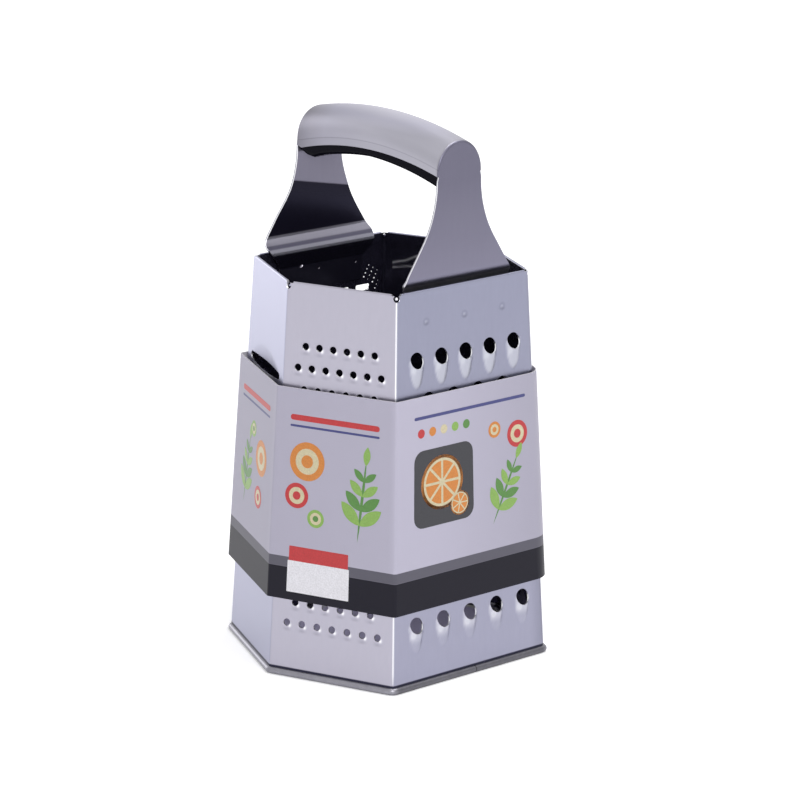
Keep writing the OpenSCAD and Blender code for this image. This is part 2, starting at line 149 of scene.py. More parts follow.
def grid_cells(index):
    return np.stack([index[:-1, :-1], index[:-1, 1:], index[1:, 1:], index[1:, :-1]], -1).reshape(-1, 4)


class Pile:
    """Groups of vertices, faces and normals that become one mesh."""

    def __init__(self):
        self.points, self.normals, self.faces, self.mats, self.uvs, self.raised = [], [], [], [], [], []
        self.size = 0

    def add(self, points, faces, mat=0, normals=None, flip=False, uv=None, raised=None):
        points = np.asarray(points, float).reshape(-1, 3)
        faces = [list(f)[::-1] if flip else list(f) for f in faces]
        if normals is None:
            normals = vertex_normals(points, faces)
        else:
            normals = np.asarray(normals, float).reshape(-1, 3)
            if (vertex_normals(points, faces) * normals).sum() < 0:
                faces = [f[::-1] for f in faces]
        self.points.append(points)
        self.normals.append(normals)
        self.faces += [[v + self.size for v in f] for f in faces]
        self.mats += [mat] * len(faces)
        self.uvs.append(np.zeros((len(points), 2)) if uv is None else np.asarray(uv, float).reshape(-1, 2))
        self.raised.append(np.zeros(len(points)) if raised is None else np.asarray(raised, float))
        self.size += len(points)

    def grid(self, rows, mat=0, flip=False, normals=None, uv=None, raised=None):
        rows = np.asarray(rows, float)
        index = np.arange(rows.shape[0] * rows.shape[1]).reshape(rows.shape[:2])
        self.add(rows, grid_cells(index).tolist(), mat, normals, flip, uv, raised)

    def make(self, name, mats, body, nodes):
        me = bpy.data.meshes.new(name)
        me.from_pydata((np.concatenate(self.points) * MM).tolist(), [], self.faces)
        for m in mats:
            me.materials.append(m)
        me.polygons.foreach_set("material_index", np.array(self.mats, np.int32))
        me.polygons.foreach_set("use_smooth", np.ones(len(self.faces), bool))
        uv, raised = np.concatenate(self.uvs), np.concatenate(self.raised)
        if uv.any():
            layer = me.uv_layers.new(name="print")
            loops = np.zeros(len(me.loops), np.int32)
            me.loops.foreach_get("vertex_index", loops)
            layer.data.foreach_set("uv", uv[loops].astype(np.float32).ravel())
        # The raised attribute carries painted light: a painted highlight above zero and painted shade below
        if raised.any():
            layer = me.attributes.new("raised", "FLOAT", "POINT")
            layer.data.foreach_set("value", raised.astype(np.float32))
        me.update()
        me.normals_split_custom_set_from_vertices(np.concatenate(self.normals).tolist())
        ob = bpy.data.objects.new(name, me)
        bpy.context.scene.collection.objects.link(ob)
        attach(ob, body)
        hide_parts(*nodes)


def steps(*zones):
    """Heights from zones (start, end, step), each zone split evenly."""
    values = [zones[0][0]]
    for start, end, step in zones:
        n = max(1, round((end - start) / step))
        values += [start + (end - start) * (i + 1) / n for i in range(n)]
    return np.array(values)


# ---- punched forms


def soft(h, foot):
    """The part of a form above the sheet, with a soft foot."""
    raised = (h + np.sqrt(h * h + foot * foot)) / 2
    return np.where(h < -3 * foot, 0, raised * np.clip(1 + (h / (3 * foot)), 0, 1) ** 0.5)


def smooth(a, b, x):
    t = np.clip((x - a) / (b - a), 0, 1)
    return t * t * (3 - 2 * t)


def blob(dx, dy, x, y, wide, high):
    """A soft spot, 1 in its middle at (x, y)."""
    return np.exp(-(((dx - x) / wide) ** 2) - ((dy - y) / high) ** 2)


def scoop(half_width, crown, tip):
    """A scoop below a hole: its plan is a long half oval, and its crown falls to the tip."""

    def height(dx, dy):
        down = np.clip(-dy / tip, 0, 1)
        plan = half_width * np.sqrt(1 - down**2) + 0.01
        across = np.clip(1 - (dx / plan) ** 2, 0, 1) ** 0.85
        return crown * (1 - down**1.5) * across * smooth(1.9, -1.4, dy) * (dy > -tip)

    return height


def lip(hole_r, lip_r, rise):
    """A low round lip, its middle below that of its hole."""
    big = (lip_r**2 + rise**2) / (2 * rise)

    def height(dx, dy):
        r2 = dx * dx + (dy + hole_r / 2) ** 2
        return soft(np.sqrt(np.clip(big * big - r2, 0, None)) - (big - rise), 0.14)

    return height


def burst(foot_r, rise):
    """A spike that is burst open in four petals."""

    def height(dx, dy):
        petal = 0.62 + 0.38 * np.cos(4 * np.arctan2(dy, dx))
        return rise * np.clip((foot_r - np.hypot(dx, dy)) / (foot_r - 0.5), 0, 1) ** 1.7 * petal

    return height


def burst_hole(hole_r):
    return lambda dx, dy: np.hypot(dx, dy) - hole_r * (0.94 - 0.26 * np.cos(4 * np.arctan2(dy, dx)))


def round_hole(radius):
    return lambda dx, dy: np.hypot(dx, dy) - radius


def dome_height(dx, dy, width, arch_h, edge):
    """A shallow dome beside a slot: edge is its rise at the slot, and arch_h how far its foot reaches."""
    up = (width / 2) ** 2 / (2 * arch_h) - arch_h / 2
    out = ((width / 2) ** 2 / edge + edge) / 2
    r2 = up * up + out * out
    return soft(np.sqrt(np.clip(r2 - dx * dx - (dy - up) ** 2, 0, None)) + edge - out, 0.16)


def weld_ball(r2):
    """How deep a round welding tip goes in, at the square of the distance from its middle."""
    return np.sqrt(np.clip(WELD_TIP_R**2 - r2, 0, None)) - (WELD_TIP_R - WELD_DENT)


def dimple(dx, dy):
    return -soft(weld_ball(dx * dx + dy * dy), 0.05)


def stadium(dx, dy, width, height):
    half = width / 2 + SHEET_T
    return np.hypot(np.clip(np.abs(dx) - half, 0, None), dy - height / 2) - height / 2


def weld_spots(k):
    return [spot(k, BODY_H - WELD_DROP) + np.array([i * WELD_PITCH, 0]) for i in (-1, 0, 1)]


class Face:
    """Heights and cuts of one punched face, in its own flat coordinates."""

    def __init__(self):
        self.forms = []

    def punch(self, places, radius, height, hole):
        self.forms += [(p, radius, height, hole) for p in places]
        return self

    def values(self, x, y):
        h, g = np.zeros_like(x), np.full_like(x, 9.0)
        order = np.argsort(y, kind="stable")
        ys = y[order]
        for p, radius, height, hole in self.forms:
            a, b = np.searchsorted(ys, [p[1] - radius, p[1] + radius])
            near = order[a:b]
            near = near[np.abs(x[near] - p[0]) < radius]
            dx, dy = x[near] - p[0], y[near] - p[1]
            raised = height(dx, dy)
            h[near] = np.where(np.abs(raised) > np.abs(h[near]), raised, h[near])
            if hole is not None:
                g[near] = np.minimum(g[near], hole(dx, dy))
        return h, g


def painted_light_mask(height, x, y, k, form):
    """Painted light on a face: a painted highlight above zero, painted shade below zero."""
    # Painted highlight on the raised forms, dimmer low on the two toothed faces
    painted_light = np.clip((height - 0.05) / (0.35 if k < 2 else 0.8), 0, 1)
    if k < 2:
        painted_light *= 0.62 + 0.38 * smooth(60, 90, y)
    # Coarse teeth: a painted highlight on the left flank, painted shade on the right one, and a dimmer tip low down on
    # the face
    if k == 0:
        painted_light *= 0.7 + 0.3 * smooth(90, 60, y)
        for p, _, _, hole in form.forms:
            if hole is None:
                continue
            near = (np.abs(y - p[1] + 6) < 8) & (np.abs(x - p[0]) < 5)
            dx, dy = x[near] - p[0], y[near] - p[1]
            low = float(smooth(90, 60, p[1]))
            painted_light[near] *= 1 - 0.8 * low * smooth(-4.5, -8.5, dy)
            painted_light[near] += (0.5 + 0.5 * low) * blob(dx, dy, -2.3, -3.9, 0.8, 1.5)
            painted_light[near] -= (0.1 + 0.16 * low) * blob(dx, dy, 2.3, -6.0, 0.7, 2.4)
        # Painted shade low on the coarse face towards the fold at its right
        edge = face_width(0, y) / 2
        painted_light -= 0.2 * smooth(edge - 9, edge - 1, x) * smooth(110, 40, y)
    # Fine holes: a painted glint at the lower right, and a faint painted shadow below
    if k == 5:
        painted_light *= 0.15
        for p, _, _, _ in form.forms:
            near = np.abs(y - p[1]) < 4
            dx, dy = x[near] - p[0], y[near] - p[1]
            painted_light[near] += blob(dx, dy, 1.45, -1.25, 0.5, 0.75)
            painted_light[near] -= 0.2 * blob(dx, dy, 0, -3.1, 1.7, 0.8)
    # Welds: a painted highlight in each dimple's middle and painted shade round it
    if k % 3 == 0:
        for weld in weld_spots(k):
            r = np.hypot(x - weld[0], y - weld[1])
            ring = smooth(0.5, 1.1, r) * smooth(2.3, 1.3, r)
            painted_light += np.where(r < 2.3, 0.25 * smooth(1.0, 0.2, r) - 0.14 * ring, 0)
    # Painted shade: a dark line above the rim
    return painted_light - smooth(4.15, 3.85, y)


def punched_panel(name, k, form, zones, step, mats):
    """One face of the folded sheet, from the middle of one fold to the middle of the next."""
    lean, f = tilt(k), facing(k)
    top_z = BODY_H - HEM_R * math.cos(lean)
    zs = steps(*zones, (zones[-1][1], top_z, 0.4))
    ex, n_flat = along(k), np.array([math.cos(f), math.sin(f)])
    turn = [facing(k) - fold_facing(k - 1), fold_facing(k) - facing(k)]
    radii = [FOLD_R[(k + 5) % 6], FOLD_R[k]]
    starts = [r * math.tan(t) for r, t in zip(radii, turn)]

    width = face_width(k, zs)[:, None]
    middle = face_mid(k, zs)
    inner_n = round(float(face_width(k, 90)) / step)
    inner = -width / 2 + HEM_END + np.linspace(0, 1, inner_n + 1) * (width - 2 * HEM_END)
    side_u = np.linspace(0, 1, 4)
    left = -width / 2 + starts[0] + side_u[:-1] * (HEM_END - starts[0])
    right = width / 2 - starts[1] - (1 - side_u[1:]) * (HEM_END - starts[1])
    flat_x = np.concatenate([left, inner, right], 1)
    base = middle[:, None, :] + flat_x[..., None] * ex
    normal = np.broadcast_to(np.append(n_flat * math.cos(lean), math.sin(lean)), base.shape[:2] + (3,))

    arcs = []
    for sign, r, start, t in zip((-1, 1), radii, starts, turn):
        count = 6 if r > 2 else 4
        a = f + sign * t * (1 - np.arange(count) / count if sign < 0 else (np.arange(count) + 1) / count)
        ring = np.stack([np.cos(a), np.sin(a)], -1)
        centre = middle + sign * (width / 2 - start) * ex - r * n_flat
        arc_n = np.concatenate([ring * math.cos(lean), np.full((count, 1), math.sin(lean))], -1)
        arc_x = sign * width / 2 + sign * r * np.abs(a - f)
        arcs.append((centre[:, None, :] + r * ring, np.broadcast_to(arc_n, (len(zs), count, 3)), arc_x))
    base, normal, flat_x = (np.concatenate(v, 1) for v in zip(arcs[0], (base, normal, flat_x), arcs[1]))
    n_left, n_right = (arc[2].shape[1] for arc in arcs)
    # Columns are bend, side strip, middle, side strip, bend; rows go up
    nr, nc = flat_x.shape
    zz = np.repeat(zs[:, None], nc, 1)
    base = np.concatenate([base, zz[..., None]], -1).reshape(-1, 3)
    normal = normal.reshape(-1, 3)
    x = (flat_x + face_drift(k) * zz / BODY_H).ravel()
    y = (zz / math.cos(lean)).ravel()

    def relief(points):
        g = np.full(len(points), 9.0)
        for c in (k + 5, k):
            edge = corner(c, BODY_H - RELIEF_DROP)
            ff = fold_facing(c % 6)
            side = (points[:, :2] - edge) @ np.array([-math.sin(ff), math.cos(ff)])
            notch = RELIEF_R if c % 6 in (4, 5) else SMALL_RELIEF_R
            g = np.minimum(g, np.hypot(side, points[:, 2] - BODY_H + RELIEF_DROP) - notch)
        return g

    cut = np.minimum(form.values(x, y)[1], relief(base)).reshape(nr, nc)
    cut[np.abs(cut) < 1e-6] = 1e-6
    keep = cut > 0
    # Whole cells stay, and cells that a hole's edge crosses are clipped along it
    index = np.arange(nr * nc).reshape(nr, nc)
    cells = grid_cells(index)
    kept = keep.ravel()[cells]
    faces = cells[kept.all(1)].tolist()
    g = cut.ravel()
    extra, made, segments = [], {}, []
    for cell in cells[kept.any(1) & ~kept.all(1)].tolist():
        ring, exits = [], []
        for i in range(4):
            p, q = cell[i], cell[(i + 1) % 4]
            if g[p] > 0:
                ring.append(p)
            if (g[p] > 0) != (g[q] > 0):
                a, b = min(p, q), max(p, q)
                if (a, b) not in made:
                    made[a, b] = nr * nc + len(extra)
                    extra.append((a, b, min(0.97, max(0.03, g[a] / (g[a] - g[b])))))
                ring.append(made[a, b])
                if g[p] > 0:
                    exits.append(made[a, b])
        faces.append(ring)
        segments += [(v, ring[(ring.index(v) + 1) % len(ring)]) for v in exits]
    if extra:
        e = np.array(extra)
        a, b, t = e[:, 0].astype(int), e[:, 1].astype(int), e[:, 2]
        base, normal, x, y = (
            np.concatenate([v, v[a] + (v[b] - v[a]) * (t[:, None] if v.ndim > 1 else t)]) for v in (base, normal, x, y)
        )
        normal[nr * nc :] /= np.linalg.norm(normal[nr * nc :], axis=1, keepdims=True)
    height = form.values(x, y)[0]
    outer = base + height[:, None] * normal
    vn = vertex_normals(outer, faces)
    rim = np.concatenate([index[:, 0], index[:, -1]])
    vn[rim] = normal[rim]
    lonely = np.linalg.norm(vn, axis=1) < 0.5
    vn[lonely] = normal[lonely]
    inner = outer - SHEET_T * vn

    mask = painted_light_mask(height, x, y, k, form)
    # Painted highlight along each fold's middle and painted shade beside it, above the rim
    for fold, columns in (((k + 5) % 6, range(n_left)), (k, range(nc - 1, nc - 1 - n_right, -1))):
        middle_highlight, side_shade = FOLD_PAINTED_LIGHT[fold]
        for i, column in enumerate(columns):
            t, line = i / len(columns), index[:, column]
            mask[line] += middle_highlight * (1 - t) * smooth(4.2, 5.4, y[line])
            mask[line] -= side_shade * math.sin(math.pi * t) ** 2 * (t > 0.5)

    pile = Pile()
    pile.add(outer, faces, 0, vn, raised=mask)
    glint = np.zeros(len(x))
    if k == 2:
        # Two bright lines where light falls on the inside of this face
        level = y * math.cos(lean)
        across = np.abs(x - face_drift(k) * level / BODY_H)
        upper = ([0, 7.5, 14.8, 21.2], [167.5, 165, 161.5, 159.9])
        for at, tops in (upper, ([0, 13.8, 21.2], [159.3, 158.8, 157.7])):
            glint += np.exp(-(((level - np.interp(across, at, tops)) / 0.5) ** 2)) * (across < 21.4)
    pile.add(inner, faces, 1, -vn, flip=True, raised=glint)
    # The folded hem's end behind the relief hole
    knot = corner(k, BODY_H - RELIEF_DROP, -1.3)
    fa, fo = np.linspace(0, 2 * math.pi, 17), np.linspace(-math.pi / 2, math.pi / 2, 9)
    ball_n = np.array([[(math.cos(o) * math.cos(a), math.cos(o) * math.sin(a), math.sin(o)) for a in fa] for o in fo])
    ball = np.append(knot, BODY_H - RELIEF_DROP - 0.2) + ball_n * (0.5 if k == 4 else 0.75)
    # The knob takes the painted shade of the inside at three corners and a painted highlight at two
    pile.grid(ball, (1, 1, 1, 2, 0, 2)[k], normals=ball_n)
    if segments:
        used = sorted({v for s in segments for v in s})
        at = {v: i for i, v in enumerate(used)}
        n = len(used)
        wall = np.concatenate([outer[used], inner[used]])
        pile.add(wall, [[at[b], at[a], at[a] + n, at[b] + n] for a, b in segments], 2)

    # Top edge beside the folds, and the edge folded inward between them
    lo, hi = n_left + 3, nc - n_right - 3
    for a, b in ((0, lo), (hi - 1, nc - 1)):
        run = index[-1, a : b + 1]
        run = run[keep[-1, a : b + 1]]
        if len(run) > 1:
            pile.grid(np.stack([outer[run], inner[run]]), 2)
    up = np.append(-n_flat * math.sin(lean), math.cos(lean))
    out = normal[index[-1, lo]]
    angles = np.linspace(math.pi / 2, -math.pi / 2, 11)
    profile = [(HEM_R * math.cos(v), HEM_R * math.sin(v) - HEM_R) for v in angles]
    profile += [(-d, -2 * HEM_R) for d in (1.2, 2.4, HEM_H - HEM_R)]
    facing_out = [(math.cos(v), math.sin(v)) for v in angles] + [(0, -1)] * 3
    line = outer[index[-1, lo:hi]]
    rows = np.array([line + p[0] * up + p[1] * out for p in profile])
    rows_n = np.array([np.broadcast_to(q[0] * up + q[1] * out, line.shape) for q in facing_out])
    pile.grid(rows[:9], 0, normals=rows_n[:9])
    pile.grid(rows[8:], 1, normals=rows_n[8:])
    within = [(p[0] - SHEET_T * q[0], p[1] - SHEET_T * q[1]) for p, q in zip(profile, facing_out)]
    inside = np.array([line + p[0] * up + p[1] * out for p in within])
    pile.grid(inside, 1, flip=True)
    pile.grid(np.stack([rows[-1], inside[-1]]), 2)
    for at_end, turned in ((0, False), (-1, True)):
        pile.grid(np.stack([rows[:, at_end], inside[:, at_end]]), 2, flip=turned)
    pile.make(name + "_face", mats, "grater", [name + "_panel"])


# ---- materials


def material(name):
    m = bpy.data.materials.new(name)
    m.use_nodes = True
    return m, m.node_tree.nodes, m.node_tree.nodes["Principled BSDF"]


def join(output, socket):
    output.id_data.links.new(output, socket)


def node(nodes, kind, **values):
    """A new node. A value in_X goes to its input X, by number or name, and another node's output is linked."""
    n = nodes.new(kind)
    for key, value in values.items():
        if not key.startswith("in_"):
            setattr(n, key, value)
            continue
        socket = n.inputs[int(key[3:]) if key[3:].isdigit() else key[3:].replace("_", " ")]
        if isinstance(value, bpy.types.NodeSocket):
            join(value, socket)
        else:
            socket.default_value = value
    return n


def calc(nodes, kind, *values):
    return node(nodes, "ShaderNodeMath", operation=kind, **{f"in_{i}": v for i, v in enumerate(values)}).outputs[0]


def span(nodes, value, start, end, low=0.0, high=1.0):
    """A value mapped from start..end to low..high, and held there beyond."""
    return node(nodes, "ShaderNodeMapRange", in_0=value, in_1=start, in_2=end, in_3=low, in_4=high).outputs[0]


def ramp(nodes, value, stops):
    """Colours a value by stops (position, colour), where a single number is a grey."""
    n = node(nodes, "ShaderNodeValToRGB", in_Fac=value)
    elements = n.color_ramp.elements
    while len(elements) < len(stops):
        elements.new(0.5)
    for element, (at, rgb) in zip(elements, stops):
        element.position = at
        element.color = (*(rgb if isinstance(rgb, tuple) else (rgb,) * 3), 1)
    return n.outputs["Color"]


def blend(nodes, share, a, b, kind="MIX"):
    return node(nodes, "ShaderNodeMix", data_type="RGBA", blend_type=kind, in_0=share, in_6=a, in_7=b).outputs[2]


def noise(nodes, place, scale, detail, rough=0.5):
    values = {"in_Vector": place, "in_Scale": scale, "in_Detail": detail, "in_Roughness": rough}
    return node(nodes, "ShaderNodeTexNoise", **values).outputs["Fac"]


def own_place(nodes):
    return node(nodes, "ShaderNodeTexCoord").outputs["Object"]


def roughen(nodes, shader, height, strength):
    dent = node(nodes, "ShaderNodeBump", in_Strength=strength, in_Distance=0.0001, in_Height=height)
    join(dent.outputs["Normal"], shader.inputs["Normal"])


def steel(name, dark, light, rough, grain_scale, bump, metallic=1.0, blotch=0.5, painted_light=None):
    """Satin steel: a fine grain along one direction, soft blotches, and places with a painted highlight or painted
    shade.
    """
    m, nodes, shader = material(name)
    shader.inputs["Metallic"].default_value = metallic
    place = own_place(nodes)
    drawn = node(nodes, "ShaderNodeMapping", in_Scale=grain_scale, in_Vector=place).outputs["Vector"]
    lines = noise(nodes, drawn, 1.0, 4.0, 0.6)
    cloud = noise(nodes, place, 22.0, 3.0)
    mixed = node(nodes, "ShaderNodeMix", data_type="FLOAT", in_0=blotch, in_2=lines, in_3=cloud).outputs[0]
    colour = ramp(nodes, mixed, [(0.3, dark), (0.7, light)])
    if painted_light:
        # The mesh attribute raised holds painted light: a painted highlight above zero, painted shade below
        high = node(nodes, "ShaderNodeAttribute", attribute_name="raised").outputs["Fac"]
        colour = blend(nodes, high, colour, (*painted_light, 1))
        colour = blend(nodes, span(nodes, high, 0.0, -1.0), colour, (0.03, 0.03, 0.05, 1))
    join(colour, shader.inputs["Base Color"])
    join(span(nodes, mixed, 0.3, 0.7, *rough), shader.inputs["Roughness"])
    roughen(nodes, shader, lines, bump)
    return m


def grained(name, scale, detail, dark, light, low=0.0, high=1.0):
    """A material in two close tones of one fine grain; returned with its nodes, its shader and the grain."""
    m, nodes, shader = material(name)
    grain = noise(nodes, own_place(nodes), scale, detail)
    join(ramp(nodes, grain, [(low, dark), (high, light)]), shader.inputs["Base Color"])
    return m, nodes, shader, grain


def painted_light_ramp(m, axis, stops, absolute=False, slant=0.0):
    """Paints light and shade on a steel by its place along one axis, in millimetres, times the grain that it has."""
    nodes = m.node_tree.nodes
    socket = nodes["Principled BSDF"].inputs["Base Color"]
    split = node(nodes, "ShaderNodeSeparateXYZ", in_0=own_place(nodes))
    value = split.outputs[axis]
    if absolute:
        value = calc(nodes, "ABSOLUTE", value)
    if slant:
        value = calc(nodes, "MULTIPLY_ADD", span(nodes, value, 0.186, 0.194, 0.0, slant), split.outputs[1], value)
    first, last = stops[0][0], stops[-1][0]
    shares = [((at - first) / (last - first), rgb) for at, rgb in stops]
    tones = ramp(nodes, span(nodes, value, first * MM, last * MM), shares)
    join(blend(nodes, 1.0, socket.links[0].from_socket, tones, "MULTIPLY"), socket)


def face_steel(name, dark, light, painted_light):
    return steel(name, dark, light, (0.33, 0.38), (500.0, 500.0, 120.0), 0.06, painted_light=painted_light)


sheet = face_steel("sheet_steel", (0.355, 0.357, 0.46), (0.38, 0.382, 0.49), (0.72, 0.72, 0.77))
# Painted light: the coarse face's steel is a darker copy of the sheet's, the fine face's a lighter one
coarse_shaded_steel = face_steel("coarse_shaded_steel", (0.306, 0.306, 0.395), (0.33, 0.33, 0.425), (0.56, 0.56, 0.62))
# Painted shade: the coarse face darker towards its top
painted_light_ramp(coarse_shaded_steel, 2, [(0.0, 1.0), (35.0, 1.0), (110.0, (0.88, 0.89, 0.9)), (185.0, (0.85, 0.87, 0.89))])
fine_steel = face_steel("fine_steel", (0.405, 0.392, 0.465), (0.43, 0.416, 0.49), (0.95, 0.95, 0.97))
# Painted shade: the inside of the sheet near black, for the dark inside of the body
shaded_inside_sheet = steel("inside_steel", (0.03, 0.028, 0.052), (0.048, 0.045, 0.08), (0.2, 0.3), (700.0, 700.0, 60.0),
                     0.2, 0.7, painted_light=(0.85, 0.85, 0.9))
# Painted highlight: a light steel for the edges of the sheet and the strap, and for two hem ends
painted_highlight_edge = steel("painted_highlight_edge", (0.62, 0.62, 0.66), (0.85, 0.85, 0.88), (0.25, 0.35), (900.0, 900.0, 900.0), 0.3)
rim_steel = steel("rim_steel", (0.22, 0.216, 0.25), (0.32, 0.314, 0.35), (0.3, 0.4), (500.0, 500.0, 500.0), 0.25)
# Painted shade: the rim darker along the coarse and the zest face
painted_light_ramp(rim_steel, 1, [(0.0, 0.5), (42.0, 0.48), (45.0, 1.0), (75.0, 1.0)], absolute=True)

STRAP_TONES, STRAP_GRAIN = ((0.94, 0.94, 0.95), (1.0, 1.0, 1.0)), (60.0, 600.0, 60.0)
strap_steel = steel("strap_steel", *STRAP_TONES, (0.38, 0.44), STRAP_GRAIN, 0.05, blotch=0.4, painted_light=(1.5, 1.5, 1.5))
# Painted light and shade along the grip: the side plates darker than the cover, and the cover lighter to the right
painted_light_ramp(strap_steel, 0, [
    (-49.0, (0.25, 0.24, 0.32)), (-48.1, (0.25, 0.24, 0.32)), (-47.9, (0.3, 0.29, 0.34)),
    (-40.0, (0.4, 0.39, 0.45)), (-30.0, (0.48, 0.47, 0.545)), (0.0, (0.55, 0.54, 0.61)), (43.6, (0.59, 0.58, 0.65)),
    (44.5, (0.52, 0.51, 0.57)), (44.8, (0.215, 0.207, 0.275)), (46.4, (0.225, 0.217, 0.288)),
    (48.2, (0.26, 0.255, 0.33)),
])
# Painted light and shade up the plates to the ridge: dark at the foot, a bright line at the bend above it, darker
# higher up, bright along the ridge
painted_light_ramp(strap_steel, 2, [
    (170.0, 0.5), (174.6, 0.7), (176.0, 1.0), (177.6, 1.0), (179.4, 0.95), (192.0, 0.86), (204.0, 0.81),
    (218.0, (0.72, 0.72, 0.73)), (235.0, (0.71, 0.71, 0.72)), (238.5, (0.84, 0.84, 0.88)), (242.0, 1.0),
])
# Painted reflection on the strap's inside: dark and lighter bands up the plates
strap_inside = steel("strap_inside", *STRAP_TONES, (0.16, 0.2), STRAP_GRAIN, 0.04, 0.55, 0.4, (38.0, 38.0, 24.0))
painted_light_ramp(strap_inside, 2, [
    (160.0, (0.02, 0.019, 0.034)), (172.4, (0.02, 0.019, 0.034)), (172.9, (0.3, 0.3, 0.36)),
    (175.0, (0.28, 0.275, 0.33)), (175.4, (0.1, 0.095, 0.14)), (176.6, (0.12, 0.115, 0.16)),
    (177.0, (0.29, 0.28, 0.34)), (180.4, (0.37, 0.36, 0.43)), (180.9, (0.019, 0.017, 0.034)),
    (192.0, (0.012, 0.011, 0.026)), (201.0, (0.007, 0.006, 0.017)), (201.6, (0.2, 0.19, 0.25)),
    (240.0, (0.2, 0.19, 0.25)),
], slant=0.191)
strap_inside.node_tree.nodes["Principled BSDF"].inputs["Specular IOR Level"].default_value = 0.2

# ---- the six faces


def blade_face(k, top_drop, bottom_z, count, width, rise, arch_h, slot_h, press=1.0):
    """Slots one above the other, each with an arched blade below it and a pressed lip above it."""

    def height(dx, dy):
        below = dome_height(dx, np.minimum(dy, 0), width, arch_h, rise)
        above = -dome_height(dx, np.minimum(slot_h - dy, 0), width, 6.0, press)
        return np.where(dy < slot_h / 2, below, above)

    places = row_spots(k, top_drop, bottom_z, count, 1, 1, 0)
    return Face().punch(places, 27, height, lambda dx, dy: stadium(dx, dy, width, slot_h))


coarse = Face().punch(row_spots(0, 29.7, 28.4, 7, 5, 4, 0.178), 16, scoop(4.15, 2.2, 12.9), round_hole(3.5))
medium = Face().punch(row_spots(1, 28, 26, 9, 5, 4, 0.165), 11, scoop(3.0, 1.75, 8.4), round_hole(2.4))
fine = Face().punch(row_spots(5, 27.2, 24.3, 14, 6, 7, 0.1235), 4, lip(1.6, 2.3, 0.45), round_hole(1.6))
zest = Face().punch(row_spots(3, 26, 22, 19, 11, 12, 0.075), 2.6, burst(1.9, 0.95), burst_hole(0.68))
slicer = blade_face(4, 45, 49, 3, 38.5, 1.7, 9, 3.2)
shaver = blade_face(2, 16, 42, 4, 41, 1.3, 8, 0.5, 0.2)
for form, k in ((coarse, 0), (zest, 3)):
    form.punch(weld_spots(k), 3, dimple, None)


def zest_place(y, z):
    return np.array([-y, z / math.cos(tilt(3))])


# A patch of finer spikes beside the welds, and two small windows below it
patch = [(29.1 - 0.9 * i + 2.6 * j, 159.3 - 1.7 * i - 1.55 * j) for i in range(7) for j in range(4)]
patch = [zest_place(y, z) for y, z in patch if 22 < y < 35.6 and z > 146.5 and not (y < 31 and z < 152.6)]
zest.punch(patch, 1.4, burst(1.1, 0.35), round_hole(0.42))
for y, w in ((25.6, 7.8), (15.5, 3.8)):
    zest.punch([zest_place(y, 149.3)], 8, lambda dx, dy: 0 * dx,
               lambda dx, dy, w=w: np.maximum(np.abs(dx) - w / 2, np.abs(dy) - 1.45))

# Rows of mesh up each face (start, end, step), fine where its teeth are
rough_grid = 1.0
FOOT = [(0.9, 3.1, 1.1), (3.1, 4.7, 0.2)]
zest_zones, reached = [(5.3, 18, 4)], 18.0
for z in sorted({round(float(p[1]) * math.cos(tilt(3)), 2) for p, _, _, hole in zest.forms if hole is not None}):
    if z < 146 and z - 2.2 > reached + 0.6:
        zest_zones += [(reached, z - 2.2, 1.8), (z - 2.2, z + 2.2, 0.49 * rough_grid)]
        reached = z + 2.2
zest_zones += [(reached, 163, 0.45 * rough_grid), (163, 169, 1.5)]
coarse_zones = [(5.3, 12, 4), (12, 150, 0.7 * rough_grid), (150, 158, 2), (158, 162.4, 0.4), (162.4, 169, 1.5)]
for name, k, form, zones, step, outside in (
    ("coarse", 0, coarse, coarse_zones, 0.75, coarse_shaded_steel),
    ("medium", 1, medium, [(5.3, 15, 4), (15, 150, 0.6 * rough_grid), (150, 169, 4)], 0.6, sheet),
    ("shaver", 2, shaver, [(5.3, 30, 4), (30, 167, 0.5 * rough_grid), (167, 169, 1)], 1.0, sheet),
    ("zest", 3, zest, zest_zones, 0.53, sheet),
    ("slicer", 4, slicer, [(5.3, 38, 5), (38, 141, 0.5 * rough_grid), (141, 169, 4)], 1.0, sheet),
    ("fine", 5, fine, [(5.3, 19, 4), (19, 150, 0.5 * rough_grid), (150, 169, 4)], 0.48, fine_steel),
):
    mats = [outside, shaded_inside_sheet, painted_highlight_edge]
    punched_panel(name, k, form, FOOT + zones, step * rough_grid, mats)

# ---- rolled rim


def rounded_ring(z, out, radius, count, softer=0.0):
    """Points round the hexagon at height z, its corners rounded, with the direction outward at each.
    The corner between the coarse and the medium face may be softer than the others."""
    points, outward = [], []
    for c in range(6):
        here = corner(c, z, out)
        a, b = facing(c), facing(c + 1)
        bend = radius + (softer if c == 0 else 0.0)
        middle = (a + b) / 2
        centre = here - bend * np.array([math.cos(middle), math.sin(middle)]) / math.cos((b - a) / 2)
        for i in range(count):
            t = a + (b - a) * i / (count - 1)
            d = np.array([math.cos(t), math.sin(t)])
            points.append(centre + bend * d)
            outward.append(d)
    return np.array(points), np.array(outward)


def sweep_ring(ring, outward, z, section):
    """Sweeps a closed section of (outward, up) points round a ring; a row for each point of the section."""
    return np.array([np.concatenate([ring + s[0] * outward, np.full((len(ring), 1), z + s[1])], 1) for s in section])


bead_z = RIM_R - RIM_FLAT
ring, outward = rounded_ring(bead_z, -SHEET_T / 2, 2.6, 8)
